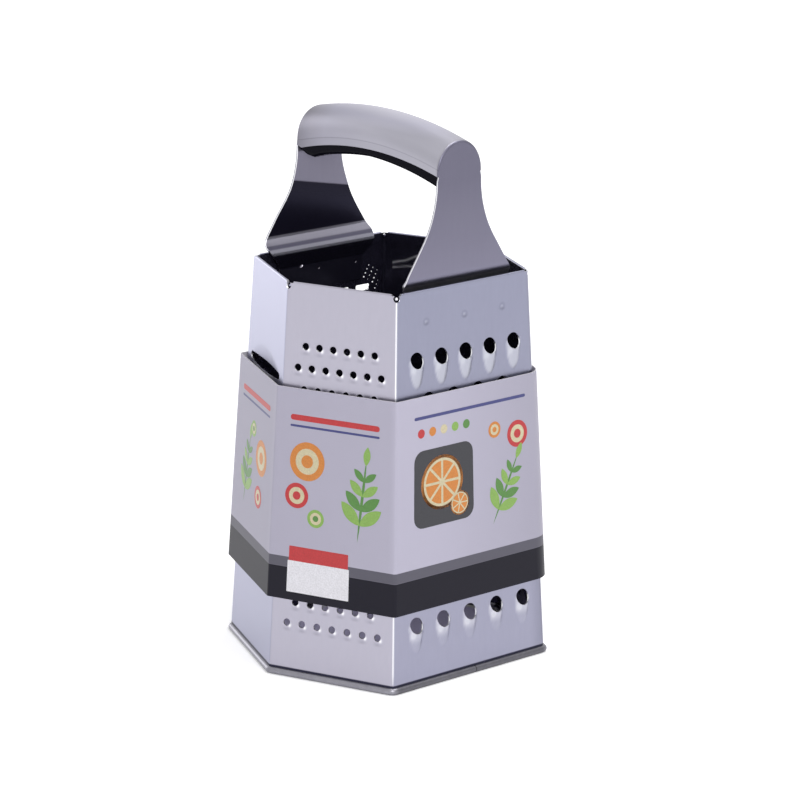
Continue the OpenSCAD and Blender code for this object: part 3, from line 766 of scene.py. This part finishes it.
# The bead's two ends meet at a narrow slit in the middle of the coarse face
slit_at, slit_half = 2.5, 0.15
start = next(i for i in range(len(ring)) if ring[i][0] > 0 and ring[i][1] > slit_at)
x_face = float(half_w(bead_z)) - SHEET_T / 2
slit = [[[x_face, slit_at + half]] for half in (slit_half, -slit_half)]
path = np.concatenate([slit[0], np.roll(ring, -start, axis=0), slit[1]])
dirs = np.concatenate([[[1.0, 0.0]], np.roll(outward, -start, axis=0), [[1.0, 0.0]]])
turns = [(RIM_R * math.cos(a), RIM_R * math.sin(a)) for a in np.linspace(0, 2 * math.pi, 29)[:-1]]
flat = [(s[0], max(s[1], -bead_z)) for s in turns]
rows = sweep_ring(path, dirs, bead_z, flat + [flat[0]])
rim_pile = Pile()
rim_pile.grid(rows, 0)
for end in (0, -1):
    cap = rows[:-1, end]
    rim_pile.add(cap, [list(range(len(cap)))], 0, flip=end == 0)
rim_pile.make("rolled_rim", [rim_steel], "grater", ["bottom_rim"])

# ---- handle strap


def fillet(path, radii, count=6):
    """The same bent line with its inner points rounded."""
    path = [np.array(p, float) for p in path]
    line = [path[0]]
    for i in range(1, len(path) - 1):
        a, b = path[i - 1] - path[i], path[i + 1] - path[i]
        la, lb = np.linalg.norm(a), np.linalg.norm(b)
        a, b = a / la, b / lb
        half = math.acos(np.clip(a @ b, -1, 1)) / 2
        cut = min(radii[i - 1] / math.tan(half), la * 0.49, lb * 0.49)
        r = cut * math.tan(half)
        centre = path[i] + (a + b) / np.linalg.norm(a + b) * r / math.sin(half)
        p, q = path[i] + a * cut - centre, path[i] + b * cut - centre
        turn = math.atan2(p[0] * q[1] - p[1] * q[0], p @ q)
        for j in range(count + 1):
            t = turn * j / count
            c, s = math.cos(t), math.sin(t)
            line.append(centre + np.array([p[0] * c - p[1] * s, p[0] * s + p[1] * c]))
    line.append(path[-1])
    return np.array(line)


def densify(line, longest):
    out = [line[0]]
    for p, q in zip(line[:-1], line[1:]):
        n = max(1, math.ceil(np.linalg.norm(q - p) / longest))
        out += [p + (q - p) * (i + 1) / n for i in range(n)]
    return np.array(out)


def wall_x(drop):
    return float(half_w(BODY_H - drop)) - (SHEET_T + TAB_GAP + STRAP_T / 2) / math.cos(tilt(0))


hip_w, hip_z, flank_a, flank_r, neck = 30.5, 1.6, math.radians(33), 48.0, 12.4
curve_w = neck + flank_r * (1 - math.cos(flank_a))
curve_z = hip_z + (hip_w - curve_w) / math.tan(flank_a)
neck_z = curve_z + flank_r * math.sin(flank_a)
outline = [(TAB_W / 2, -TAB_END), (TAB_W / 2, -TAB_START), (hip_w - hip_z / 2, -SHOULDER_DROP), (hip_w, hip_z)]
for a in (flank_a * (1 - i / 16) for i in range(17)):
    outline.append((neck + flank_r * (1 - math.cos(a)), neck_z - flank_r * math.sin(a)))
outline = np.array(outline)
soft_outline = fillet(outline[:5].tolist(), [1.0, 3.0, 1.4], 5)
outline = np.concatenate([soft_outline[:-1], outline[4:]])


def plate_half(z):
    return np.interp(z, outline[:, 1], outline[:, 0])


def end_radius(s):
    """Radius of the bend between cover and side plate; s runs from the ridge (0) to the skirt's edge (1)."""
    return 1.0 - 0.6 * smooth(0.62, 1.0, s)


def skirt(x):
    """How far the grip cover's straight side runs down."""
    return 3.4 - 0.04 * x


def settle(points):
    """Moves the handle above its shoulders a little off the middle, and higher at its left end."""
    p = np.array(points, float)
    x, z = p[..., 0].copy(), p[..., 2].copy()
    w = smooth(168.5, 180, z)
    p[..., 0] -= w * (1.6 + 0.4 * x / PLATE_X)
    p[..., 1] -= 0.9 * w + np.where(x < 0, 1.3, 0.0) * smooth(168.5, 176, z) * smooth(202, 186, z)
    p[..., 2] += w * (0.7 - 0.7 * x / PLATE_X)
    return p


def cover_line(s, x, inset=0.0):
    """Place on the outside of the grip cover: s from the ridge to the lower edge, x along the grip."""
    arc = math.pi / 2 * GRIP_R
    total = arc + skirt(x)
    # The lower edge turns up over the last few millimetres of the left end
    corner_w, corner_h = 3.2, 2.0
    corner_t = np.clip((-x - PLATE_X + corner_w) / corner_w, 0, 1)
    d = s * total - corner_h * corner_t**2 * smooth(0.8, 1.0, s)
    if d < arc:
        a = d / GRIP_R
        rho, y = (GRIP_R - inset) * math.cos(a), (GRIP_R - inset) * math.sin(a)
        normal = np.array([0, math.sin(a), math.cos(a)])
    else:
        rho, y = arc - d, GRIP_R - inset
        normal = np.array([0, 1.0, 0])
    r = TUBE_R + rho
    z = GRIP_Z + math.sqrt(r * r - x * x)
    tip = x / r
    normal = np.array([normal[2] * tip, normal[1], normal[2] * math.sqrt(1 - tip * tip)])
    return np.array([x, y, z]), normal


def cover_strip(s, inset):
    """A line over the grip cover from one plate's plane to the other, with its bent ends."""
    r = end_radius(s)

    def bent_end(side):
        """From the plate's plane, where a is 0, to the cover, where it is a right angle."""
        end = []
        for a in (math.pi / 2 * i / 8 for i in range(8)):
            p, n = cover_line(s, side * (PLATE_X - r * (1 - math.cos(a))), r * (1 - math.sin(a)))
            out = n * math.sin(a) + np.array([side * math.cos(a), 0, 0])
            out /= np.linalg.norm(out)
            end.append((p - inset * out, out))
        return end

    middle = [cover_line(s, x) for x in np.linspace(-(PLATE_X - r), PLATE_X - r, 33)]
    whole = bent_end(-1) + [(p - inset * n, n) for p, n in middle] + bent_end(1)[::-1]
    return [p for p, _ in whole], [n for _, n in whole]


lift = np.array([0, 0, BODY_H])
levels = np.sort(np.concatenate([np.linspace(0, 1, 25), [0.846, 0.860, 0.874]]))
strap = Pile()
for inset, mat in ((0.0, 0), (STRAP_T, 1)):
    rows, rows_n, painted_light_tones = [], [], []
    # Painted light on the cover: a painted highlight along the ridge, painted shade on the flanks and lower down, and
    # a thin line of painted shade above the lower edge
    for s in list(-levels[::-1]) + list(levels[1:]):
        tone = 0.1 * math.exp(-((s / 0.14) ** 2)) - 0.07 * math.exp(-(((abs(s) - 0.3) / 0.12) ** 2))
        tone -= 0.12 * float(smooth(0.5, 0.75, abs(s)))
        painted_light_tones.append(tone + (-0.25 if abs(abs(s) - 0.86) < 0.002 else -0.04 if abs(s) > 0.87 else 0.0))
        line, normals = cover_strip(abs(s), inset)
        side = np.array([1, -1 if s < 0 else 1, 1])
        rows.append([p * side + lift for p in line])
        rows_n.append([n * side for n in normals])
    rows, rows_n = settle(rows), np.array(rows_n)
    strap.grid(rows, mat, normals=rows_n * (-1 if inset else 1), raised=np.repeat(painted_light_tones, rows.shape[1]))
    if inset:
        for at_edge in (0, -1):
            strap.grid(np.stack([outer_rows[at_edge], rows[at_edge]]), 2, flip=at_edge == 0)
    outer_rows = rows

# The side plates, from the grip cover's bent end down over the shoulder to the tab
mid_x = PLATE_X - STRAP_T / 2
plate_foot = 12.0


def shoulder_point(angle):
    return np.array([mid_x - SHOULDER_R * (1 - math.cos(angle)), SHOULDER_Z - SHOULDER_R * math.sin(angle)])


bend_end = shoulder_point(SHOULDER_ANGLE)
slope_end = (bend_end[0] - (bend_end[1] + SHOULDER_DROP) * math.tan(SHOULDER_ANGLE), -SHOULDER_DROP)
path = [np.array([mid_x, plate_foot]), np.array([mid_x, SHOULDER_Z])]
path += [shoulder_point(SHOULDER_ANGLE * i / 8) for i in range(1, 8)]
tail = fillet([bend_end, slope_end, (wall_x(TAB_START), -TAB_START), (wall_x(TAB_END), -TAB_END)], [2.2, 2.5], 6)
path = densify(np.array(path + list(tail)), 1.5)
cover_low = [cover_line(s, PLATE_X, end_radius(s))[0] for s in levels]
_, low_w, low_z = cover_low[-1]
centre = np.array([(mid_x, z) for z in np.linspace(low_z, plate_foot, 36)] + [tuple(p) for p in path[1:]])
heading = np.gradient(centre, axis=0)
heading /= np.linalg.norm(heading, axis=1, keepdims=True)
out_dir = np.stack([-heading[:, 1], heading[:, 0]], 1)
out_dir *= np.sign(out_dir[:, :1])
u = np.linspace(-1, 1, 25)
chamfer = 0.12
for side in (-1, 1):
    skins = []
    for off in (STRAP_T / 2, -STRAP_T / 2):
        rows, rows_n = [], []
        for p in cover_low[:-1]:
            width = max(p[1], 0.0)
            rows.append([[side * (mid_x + off), width * v, p[2] + BODY_H] for v in u])
            rows_n.append([[side * np.sign(off), 0, 0]] * len(u))
        for (x, z), (dx, dz) in zip(centre, out_dir):
            width = plate_half(z)
            if z > low_z - 2.5:
                width = min(width, low_w + (width - low_w) * smooth(low_z, low_z - 2.5, z))
            deep, push = off, np.zeros(len(u))
            if off < 0:
                deep -= 0.25 * smooth(low_z - 2, low_z - 6, z)
                for w in (-WELD_PITCH, 0, WELD_PITCH):
                    push += np.clip(weld_ball((width * u - w) ** 2 + (z + WELD_DROP) ** 2), 0, None)
            x_at, z_at = side * (x + (deep + push) * dx), z + deep * dz + BODY_H
            rows.append([[x_v, (width - chamfer) * v, z_at] for v, x_v in zip(u, x_at)])
            rows_n.append([[side * dx * np.sign(off), 0, dz * np.sign(off)]] * len(u))
        rows, rows_n = settle(rows), np.array(rows_n)
        strap.grid(rows, 0 if off > 0 else 1, flip=(side > 0) == (off > 0), normals=rows_n)
        skins.append(rows[len(cover_low) - 1 :])
    a, b = skins
    # Painted light on each plate's edge: painted shade towards -X and a painted highlight towards +X
    for edge in (0, -1):
        part = 0.38 if side < 0 else 0.62
        between = a[:, edge] + (b[:, edge] - a[:, edge]) * part
        for p, q, edge_shaded in ((a[:, edge], between, side < 0), (between, b[:, edge], side > 0)):
            raised = np.full(2 * len(p), -0.25 if edge_shaded else 0.0)
            strap.grid(np.stack([p, q]), 0 if edge_shaded else 2, flip=(edge == 0) == (side > 0), raised=raised)
    strap.grid(np.stack([a[-1], b[-1]]), 2, flip=side < 0)
# The welds' dishes inside the tabs, of which those at -X stand a little off their places
weld_z = BODY_H - WELD_DROP
dish_places = {
    -1: [(-12.0, 165.8), (-1.6, 163.0), (19.8, 162.7)],
    1: [(-WELD_PITCH, weld_z), (0.0, weld_z), (WELD_PITCH, weld_z)],
}
# Each dish has a painted glint on one side of its rim
for side, places in dish_places.items():
    for y, z in places:
        x = float(np.interp(z - BODY_H, centre[::-1, 1], centre[::-1, 0])) - STRAP_T / 2
        dish, dish_n, glints = [], [], []
        for r in np.linspace(0, 1.9, 8):
            slope = math.asin(r / 2.2)
            for a in np.linspace(0, 2 * math.pi, 33):
                v = np.array([0, math.cos(a), math.sin(a)])
                depth = 0.3 * (1 - (r / 1.9) ** 2) + 0.047 * r * math.sin(a)
                dish.append(np.array([side * (x - depth), y, z]) + r * v)
                glints.append(max(0.0, math.cos(a + 0.8)) ** 4 * (0.5 < r < 1.7))
                dish_n.append(np.array([-side * math.cos(slope), 0, 0]) - v * math.sin(slope))
        dish, dish_n = (np.array(v).reshape(8, 33, 3) for v in (dish, dish_n))
        strap.grid(dish, 1, normals=dish_n, raised=np.array(glints))
strap.make("handle_strap_skin", [strap_steel, strap_inside, painted_highlight_edge], "grater", ["handle_strap"])

# ---- grip liner

liner_m, nodes, shader, grain = grained("liner_plastic", 900.0, 3.0, (0.003, 0.003, 0.006), (0.008, 0.0075, 0.013))
shader.inputs["Specular IOR Level"].default_value = 0.02
join(span(nodes, grain, 0.3, 0.7, 0.13, 0.22), shader.inputs["Roughness"])
roughen(nodes, shader, grain, 0.06)

half = GRIP_R - STRAP_T - LINER_GAP
liner_x = PLATE_X - STRAP_T - LINER_GAP
section = [(0.0, -half)]
section += [(LINER_EDGE * (1 - math.sin(t)) - LINER_DROP, LINER_EDGE * (1 - math.cos(t)) - half)
            for t in np.linspace(0, math.pi / 2, 9)]
section += [(r, -y) for r, y in section[::-1]]
ends = 0.12 * (1 - np.cos(np.linspace(0, math.pi / 2, 8)))
# How deep the liner hangs along the grip, as a share of its usual depth
BELLY_X = [-46.5, -45.5, -42, -38, -34, -29, -24, 0, 47]
BELLY = [0.85, 0.93, 1.22, 1.39, 1.3, 1.24, 1.21, 1.0, 1.0]
rows = []
for x in liner_x * np.concatenate([ends - 1, np.linspace(-0.86, 0.86, 41), 1 - ends[::-1]]):
    belly = np.interp(x, BELLY_X, BELLY)
    radii = [TUBE_R + (r * belly if r < 0 else r) for r, _ in section]
    rows.append([[x, y, GRIP_Z + BODY_H + math.sqrt(r * r - x * x)] for r, (_, y) in zip(radii, section)])
rows = settle(rows)
liner = Pile()
liner.grid(rows)
liner.add(rows[0], [list(range(len(section)))])
liner.add(rows[-1], [list(range(len(section)))], flip=True)
liner.make("grip_liner_skin", [liner_m], "grater", ["grip_liner"])

# ---- card sleeve

SLEEVE_OUT = SLEEVE_GAP + CARD_T
CARD_BEND, SOFT_BEND, RING_N = 1.8, 9.0, 7

card_m, nodes, shader = material("printed_card")
shader.inputs["Roughness"].default_value = 0.42
shader.inputs["Specular IOR Level"].default_value = 0.2
uv = node(nodes, "ShaderNodeUVMap", uv_map="print").outputs["UV"]
split = node(nodes, "ShaderNodeSeparateXYZ", in_0=uv)
fibres = noise(nodes, uv, 3.0, 5.0, 0.65)
paper = ramp(nodes, fibres, [(0.25, (0.47, 0.45, 0.56)), (0.75, (0.52, 0.5, 0.61))])
# Painted light and shade on the card round the sleeve, by the distance from the fold at the front
tones = [(-140, 0.86), (-64, 0.84), (-58, 0.9), (-3, 0.92), (0, 1.0), (25, 0.99), (78, 0.84), (140, 0.88)]
shade = ramp(nodes, span(nodes, split.outputs[0], -140.0, 140.0), [((at + 140) / 280, tone) for at, tone in tones])
colour = blend(nodes, 1.0, paper, shade, "MULTIPLY")
# The grey and the black band along the lower edge
for low, high, rgb in ((14.5, 19.0, (0.116, 0.112, 0.142)), (-1.0, 14.5, (0.0075, 0.0066, 0.0145))):
    away = calc(nodes, "ABSOLUTE", calc(nodes, "SUBTRACT", split.outputs[1], (low + high) / 2))
    share = span(nodes, calc(nodes, "SUBTRACT", away, (high - low) / 2), 0.12, -0.12)
    colour = blend(nodes, share, colour, (*rgb, 1))
join(colour, shader.inputs["Base Color"])
roughen(nodes, shader, fibres, 0.05)


def sleeve_rows(out, radius, zs):
    """The sleeve's outline at each height, with the direction outward."""
    rows, normals = [], []
    for z in zs:
        ring, outward = rounded_ring(z, out, radius, RING_N, SOFT_BEND)
        rows.append(np.concatenate([ring, np.full((len(ring), 1), z)], 1))
        normals.append(np.concatenate([outward, np.full((len(ring), 1), 0.045)], 1))
    return np.array(rows), np.array(normals)


zs = np.linspace(SLEEVE_Z, SLEEVE_Z + SLEEVE_H, 12)
# u is zero on the fold between the fine and the coarse face, and grows anticlockwise from above
ring = rounded_ring(SLEEVE_Z + SLEEVE_H / 2, SLEEVE_OUT, CARD_BEND, RING_N, SOFT_BEND)[0]
sides = np.linalg.norm(np.diff(np.concatenate([ring, ring[:1]]), axis=0), axis=1)
lengths = np.concatenate([[0], np.cumsum(sides)])
total = lengths[-1]
u_of = (lengths[:-1] - lengths[5 * RING_N + RING_N // 2]) % total
u_of = np.where(u_of > total / 2, u_of - total, u_of)
by_u = np.argsort(u_of, kind="stable")
around = np.append(by_u, by_u[0])
u_line = np.append(u_of[by_u], u_of[by_u[0]] + total)
uv_rows = np.array([[[u, z - SLEEVE_Z] for u in u_line] for z in zs])
o_rows, o_n = (v[:, around] for v in sleeve_rows(SLEEVE_OUT, CARD_BEND, zs))
o_n /= np.linalg.norm(o_n, axis=-1, keepdims=True)
i_rows = sleeve_rows(SLEEVE_GAP, CARD_BEND - CARD_T, zs)[0][:, around]
sleeve = Pile()
sleeve.grid(o_rows, 0, normals=o_n, uv=uv_rows)
sleeve.grid(i_rows, 1, flip=True, uv=uv_rows)
sleeve.grid(np.stack([i_rows[0], o_rows[0]]), 1, uv=uv_rows[:2])
sleeve.grid(np.stack([o_rows[-1], i_rows[-1]]), 1, uv=uv_rows[:2])

plain_m, _, shader, _ = grained("plain_card", 1400.0, 5.0, (0.5, 0.48, 0.5), (0.75, 0.73, 0.76))
shader.inputs["Roughness"].default_value = 0.7


def ink(name, rgb):
    """A printed colour: two close tones in the card's fibres, and a thin gloss."""
    dark, light = tuple(v * 0.86 for v in rgb), tuple(min(1.0, v * 1.08) for v in rgb)
    m, _, shader, _ = grained("ink_" + name, 1600.0, 4.0, dark, light, 0.3, 0.7)
    shader.inputs["Roughness"].default_value = 0.36
    return m


INKS = {
    "green": (0.09, 0.24, 0.05), "leaf": (0.24, 0.42, 0.09), "orange": (0.62, 0.22, 0.04), "red": (0.5, 0.03, 0.035),
    "navy": (0.05, 0.055, 0.2), "white": (0.78, 0.77, 0.82), "dark": (0.028, 0.028, 0.036),
    "cream": (0.62, 0.55, 0.36),
}
ink_names = list(INKS)
ink_mats = [ink(name, rgb) for name, rgb in INKS.items()]


def shape(k, colour, outline, layer=0):
    """A printed shape over face k; points are u across from its middle and v up from the sleeve's lower edge."""
    u, v = np.array(outline, float).T
    z, f, lean = v + SLEEVE_Z, facing(k), tilt(k)
    mid_w = float(face_width(k, SLEEVE_Z + SLEEVE_H / 2))
    base = face_mid(k, z) + (u / mid_w * face_width(k, z))[:, None] * along(k)
    normal = np.array([math.cos(f) * math.cos(lean), math.sin(f) * math.cos(lean), math.sin(lean)])
    points = np.concatenate([base, z[:, None]], 1) + (SLEEVE_OUT + (0.03 + 0.02 * layer)) * normal
    sleeve.add(points, [list(range(len(points)))], 2 + ink_names.index(colour), np.broadcast_to(normal, points.shape))


def placed(u, v, x, y, degrees):
    """Points (x, y) turned and moved to (u, v)."""
    c, s = math.cos(math.radians(degrees)), math.sin(math.radians(degrees))
    return np.stack([u + x * c - y * s, v + x * s + y * c], 1)


def disc(k, colour, u, v, r, layer=0):
    t = np.linspace(0, 2 * math.pi, 40, endpoint=False)
    shape(k, colour, np.stack([u + r * np.cos(t), v + r * np.sin(t)], 1), layer)


def leaf(k, colour, u, v, length, width, turn, layer=0):
    t = np.linspace(0, 1, 13)
    side = width / 2 * np.sin(math.pi * t) ** 0.8
    x = np.concatenate([t * length, t[-2:0:-1] * length])
    y = np.concatenate([-side, side[-2:0:-1]])
    shape(k, colour, placed(u, v, x, y, turn), layer)


def bar(k, colour, u0, u1, v0, v1, r, layer=0):
    out = []
    for cx, cy, start in ((u1 - r, v0 + r, -90), (u1 - r, v1 - r, 0), (u0 + r, v1 - r, 90), (u0 + r, v0 + r, 180)):
        for i in range(6):
            a = math.radians(start + 18 * i)
            out.append((cx + r * math.cos(a), cy + r * math.sin(a)))
    shape(k, colour, out, layer)


def sprig(k, u, v, size, turn, pairs=4):
    """A stem with pairs of leaves, which grow smaller to its tip."""
    c, s = math.cos(math.radians(turn)), math.sin(math.radians(turn))
    leaf(k, "green", u, v, size, size * 0.035, turn)
    for i in range(pairs):
        d = size * (0.2 + 0.68 * i / pairs)
        grow = size * (0.34 - 0.05 * i)
        for side in (-1, 1):
            colour = "leaf" if (i + side) % 2 else "green"
            leaf(k, colour, u + d * c, v + d * s, grow, grow * 0.42, turn + side * 48, 1)
    leaf(k, "leaf", u + size * 0.9 * c, v + size * 0.9 * s, size * 0.22, size * 0.09, turn, 1)


def rings(k, u, v, r, outer, core):
    for i, name in enumerate((outer, "cream", core)):
        disc(k, name, u, v, r * (1 - i / 3), i)


def stripes(k, wide):
    bar(k, "red", -wide, wide, 79.5, 82.0, 1.2)
    bar(k, "navy", -wide, wide, 76.6, 77.6, 0.5)


def citrus(k, u, v, r, parts):
    """A round slice: rind, pith and wedges."""
    disc(k, "orange", u, v, r)
    disc(k, "cream", u, v, r * 0.88, 1)
    for i in range(parts):
        a = 2 * math.pi * (i + np.append(0.5, np.linspace(0.08, 0.92, 9))) / parts
        far = r * np.array([0.12] + [0.78] * 9)
        shape(k, "orange", np.stack([u + far * np.cos(a), v + far * np.sin(a)], 1), 2)


# The slanted face at the front left
sprig(5, 12.0, 30.0, 38.0, 84)
rings(5, -13.0, 62.0, 8.5, "orange", "orange")
rings(5, -17.5, 46.5, 5.6, "red", "red")
rings(5, -8.0, 37.5, 4.0, "leaf", "green")
stripes(5, 22.0)
bar(5, "red", -20.0, 8.0, 17.0, 24.0, 0.3)
bar(5, "white", -20.5, 8.5, 3.5, 17.5, 0.3, layer=1)
# The broad face at the front right
bar(0, "dark", -33.0, 1.0, 36.0, 70.0, 5.0)
citrus(0, -17.0, 54.5, 12.0, 8)
citrus(0, -7.0, 43.5, 5.4, 7)
for i, name in enumerate(("red", "orange", "cream", "leaf", "green")):
    disc(0, name, -29.0 + 6.6 * i, 77.5, 2.0)
sprig(0, 12.0, 30.0, 34.0, 62)
rings(0, 27.5, 68.0, 6.0, "red", "red")
rings(0, 14.0, 72.0, 3.6, "orange", "orange")
bar(0, "navy", -33.0, 33.0, 83.6, 85.0, 0.7)
# The other four faces
for k in range(1, 5):
    wide = 30.0 if k == 3 else 21.0
    stripes(k, wide)
    sprig(k, -wide + 9.0, 30.0, 34.0, 80)
    rings(k, wide - 10.0, 56.0, 8.0, "orange", "orange")
    rings(k, wide - 12.0, 38.0, 5.0, "red", "red")
    rings(k, wide - 23.0, 66.0, 3.6, "leaf", "green")
sprig(3, 2.0, 28.0, 32.0, 96)
sleeve.make("card_sleeve_print", [card_m, plain_m] + ink_mats, "sleeve", ["card_sleeve"])

# ---- floor, world, lamps

scene = bpy.context.scene
world = bpy.data.worlds.new("studio")
scene.world = world
world.use_nodes = True
nodes = world.node_tree.nodes
sky = nodes["Background"]
sky.inputs["Color"].default_value = (1, 1, 1, 1)
# White where it is seen, and dimmer as a light
seen = node(nodes, "ShaderNodeLightPath").outputs
shown = calc(nodes, "MAXIMUM", seen["Is Camera Ray"], seen["Is Transmission Ray"])
shown = calc(nodes, "MAXIMUM", shown, seen["Is Glossy Ray"])
join(span(nodes, shown, 0.0, 1.0, 0.55, 1.0), sky.inputs["Strength"])

floor_m, nodes, shader = material("floor")
shader.inputs["Roughness"].default_value = 0.9
shader.inputs["Specular IOR Level"].default_value = 0.0
shader.inputs["Emission Color"].default_value = (1, 1, 1, 1)
seen = node(nodes, "ShaderNodeLightPath").outputs
axes = node(nodes, "ShaderNodeSeparateXYZ", in_0=own_place(nodes)).outputs
# Distance on the floor from the body's outline, below zero inside it
edge = None
for angle, half in ((0, 55.0), (67.7, 61.0), (112.3, 61.0)):
    c, s = math.cos(math.radians(angle)), math.sin(math.radians(angle))
    across = calc(nodes, "ADD", calc(nodes, "MULTIPLY", axes[0], c), calc(nodes, "MULTIPLY", axes[1], s))
    past = calc(nodes, "SUBTRACT", calc(nodes, "ABSOLUTE", across), half * MM)
    edge = past if edge is None else calc(nodes, "MAXIMUM", edge, past)
# Painted tint: bluish inside the body's outline, for the dim light seen through the holes
tint = ramp(nodes, span(nodes, edge, -0.004, 0.0), [(0.0, (0.74, 0.69, 0.98)), (1.0, (0.86, 0.86, 0.87))])
join(tint, shader.inputs["Base Color"])
# White where it is seen around the body, and only lit inside the outline
glow = calc(nodes, "ADD", span(nodes, edge, 0.0, 0.004, 0.0, 0.4), span(nodes, edge, 0.4, 2.0, 0.0, 0.6))
shown = calc(nodes, "MAXIMUM", seen["Is Camera Ray"], seen["Is Glossy Ray"])
join(calc(nodes, "MULTIPLY", shown, glow), shader.inputs["Emission Strength"])
bpy.ops.mesh.primitive_plane_add(size=8)
floor = bpy.context.object
floor.name = "floor"
floor.data.materials.append(floor_m)


def lamp(name, place, target, size, power):
    data = bpy.data.lights.new(name, "AREA")
    data.shape, data.size, data.energy = "DISK", size, power
    ob = bpy.data.objects.new(name, data)
    scene.collection.objects.link(ob)
    ob.location = place
    ob.rotation_euler = (Vector(target) - Vector(place)).to_track_quat("-Z", "Y").to_euler()


lamp("key", (1.15, -0.75, 0.75), (0, 0, 0.12), 0.45, 6.5)
lamp("left", (-1.25, -0.25, 0.35), (0, 0, 0.12), 0.8, 3.2)
lamp("top", (0.35, 0.35, 1.7), (0.0, 0.1, 0.0), 1.4, 14.0)

# ---- camera

azimuth, elevation, roll = (math.radians(v) for v in (48.903, 15.588, 0.630))
target = Vector((3.223, 3.704, 109.696)) * MM
distance = 1.55077
right = Vector((math.cos(azimuth), math.sin(azimuth), 0))
level = math.cos(elevation)
back = Vector((math.sin(azimuth) * level, -math.cos(azimuth) * level, math.sin(elevation)))
up = back.cross(right)
right_r = right * math.cos(roll) + up * math.sin(roll)
up_r = up * math.cos(roll) - right * math.sin(roll)
camera_data = bpy.data.cameras.new("camera")
camera_data.sensor_width, camera_data.lens = 36.0, 158.664
camera_data.shift_y = 4.222 / 800
camera_data.clip_end = 20
camera = bpy.data.objects.new("camera", camera_data)
scene.collection.objects.link(camera)
turned = Matrix((right_r, up_r, back)).transposed().to_4x4()
turned.translation = target + back * distance
camera.matrix_world = turned
scene.camera = camera
scene.view_settings.view_transform = "Standard"
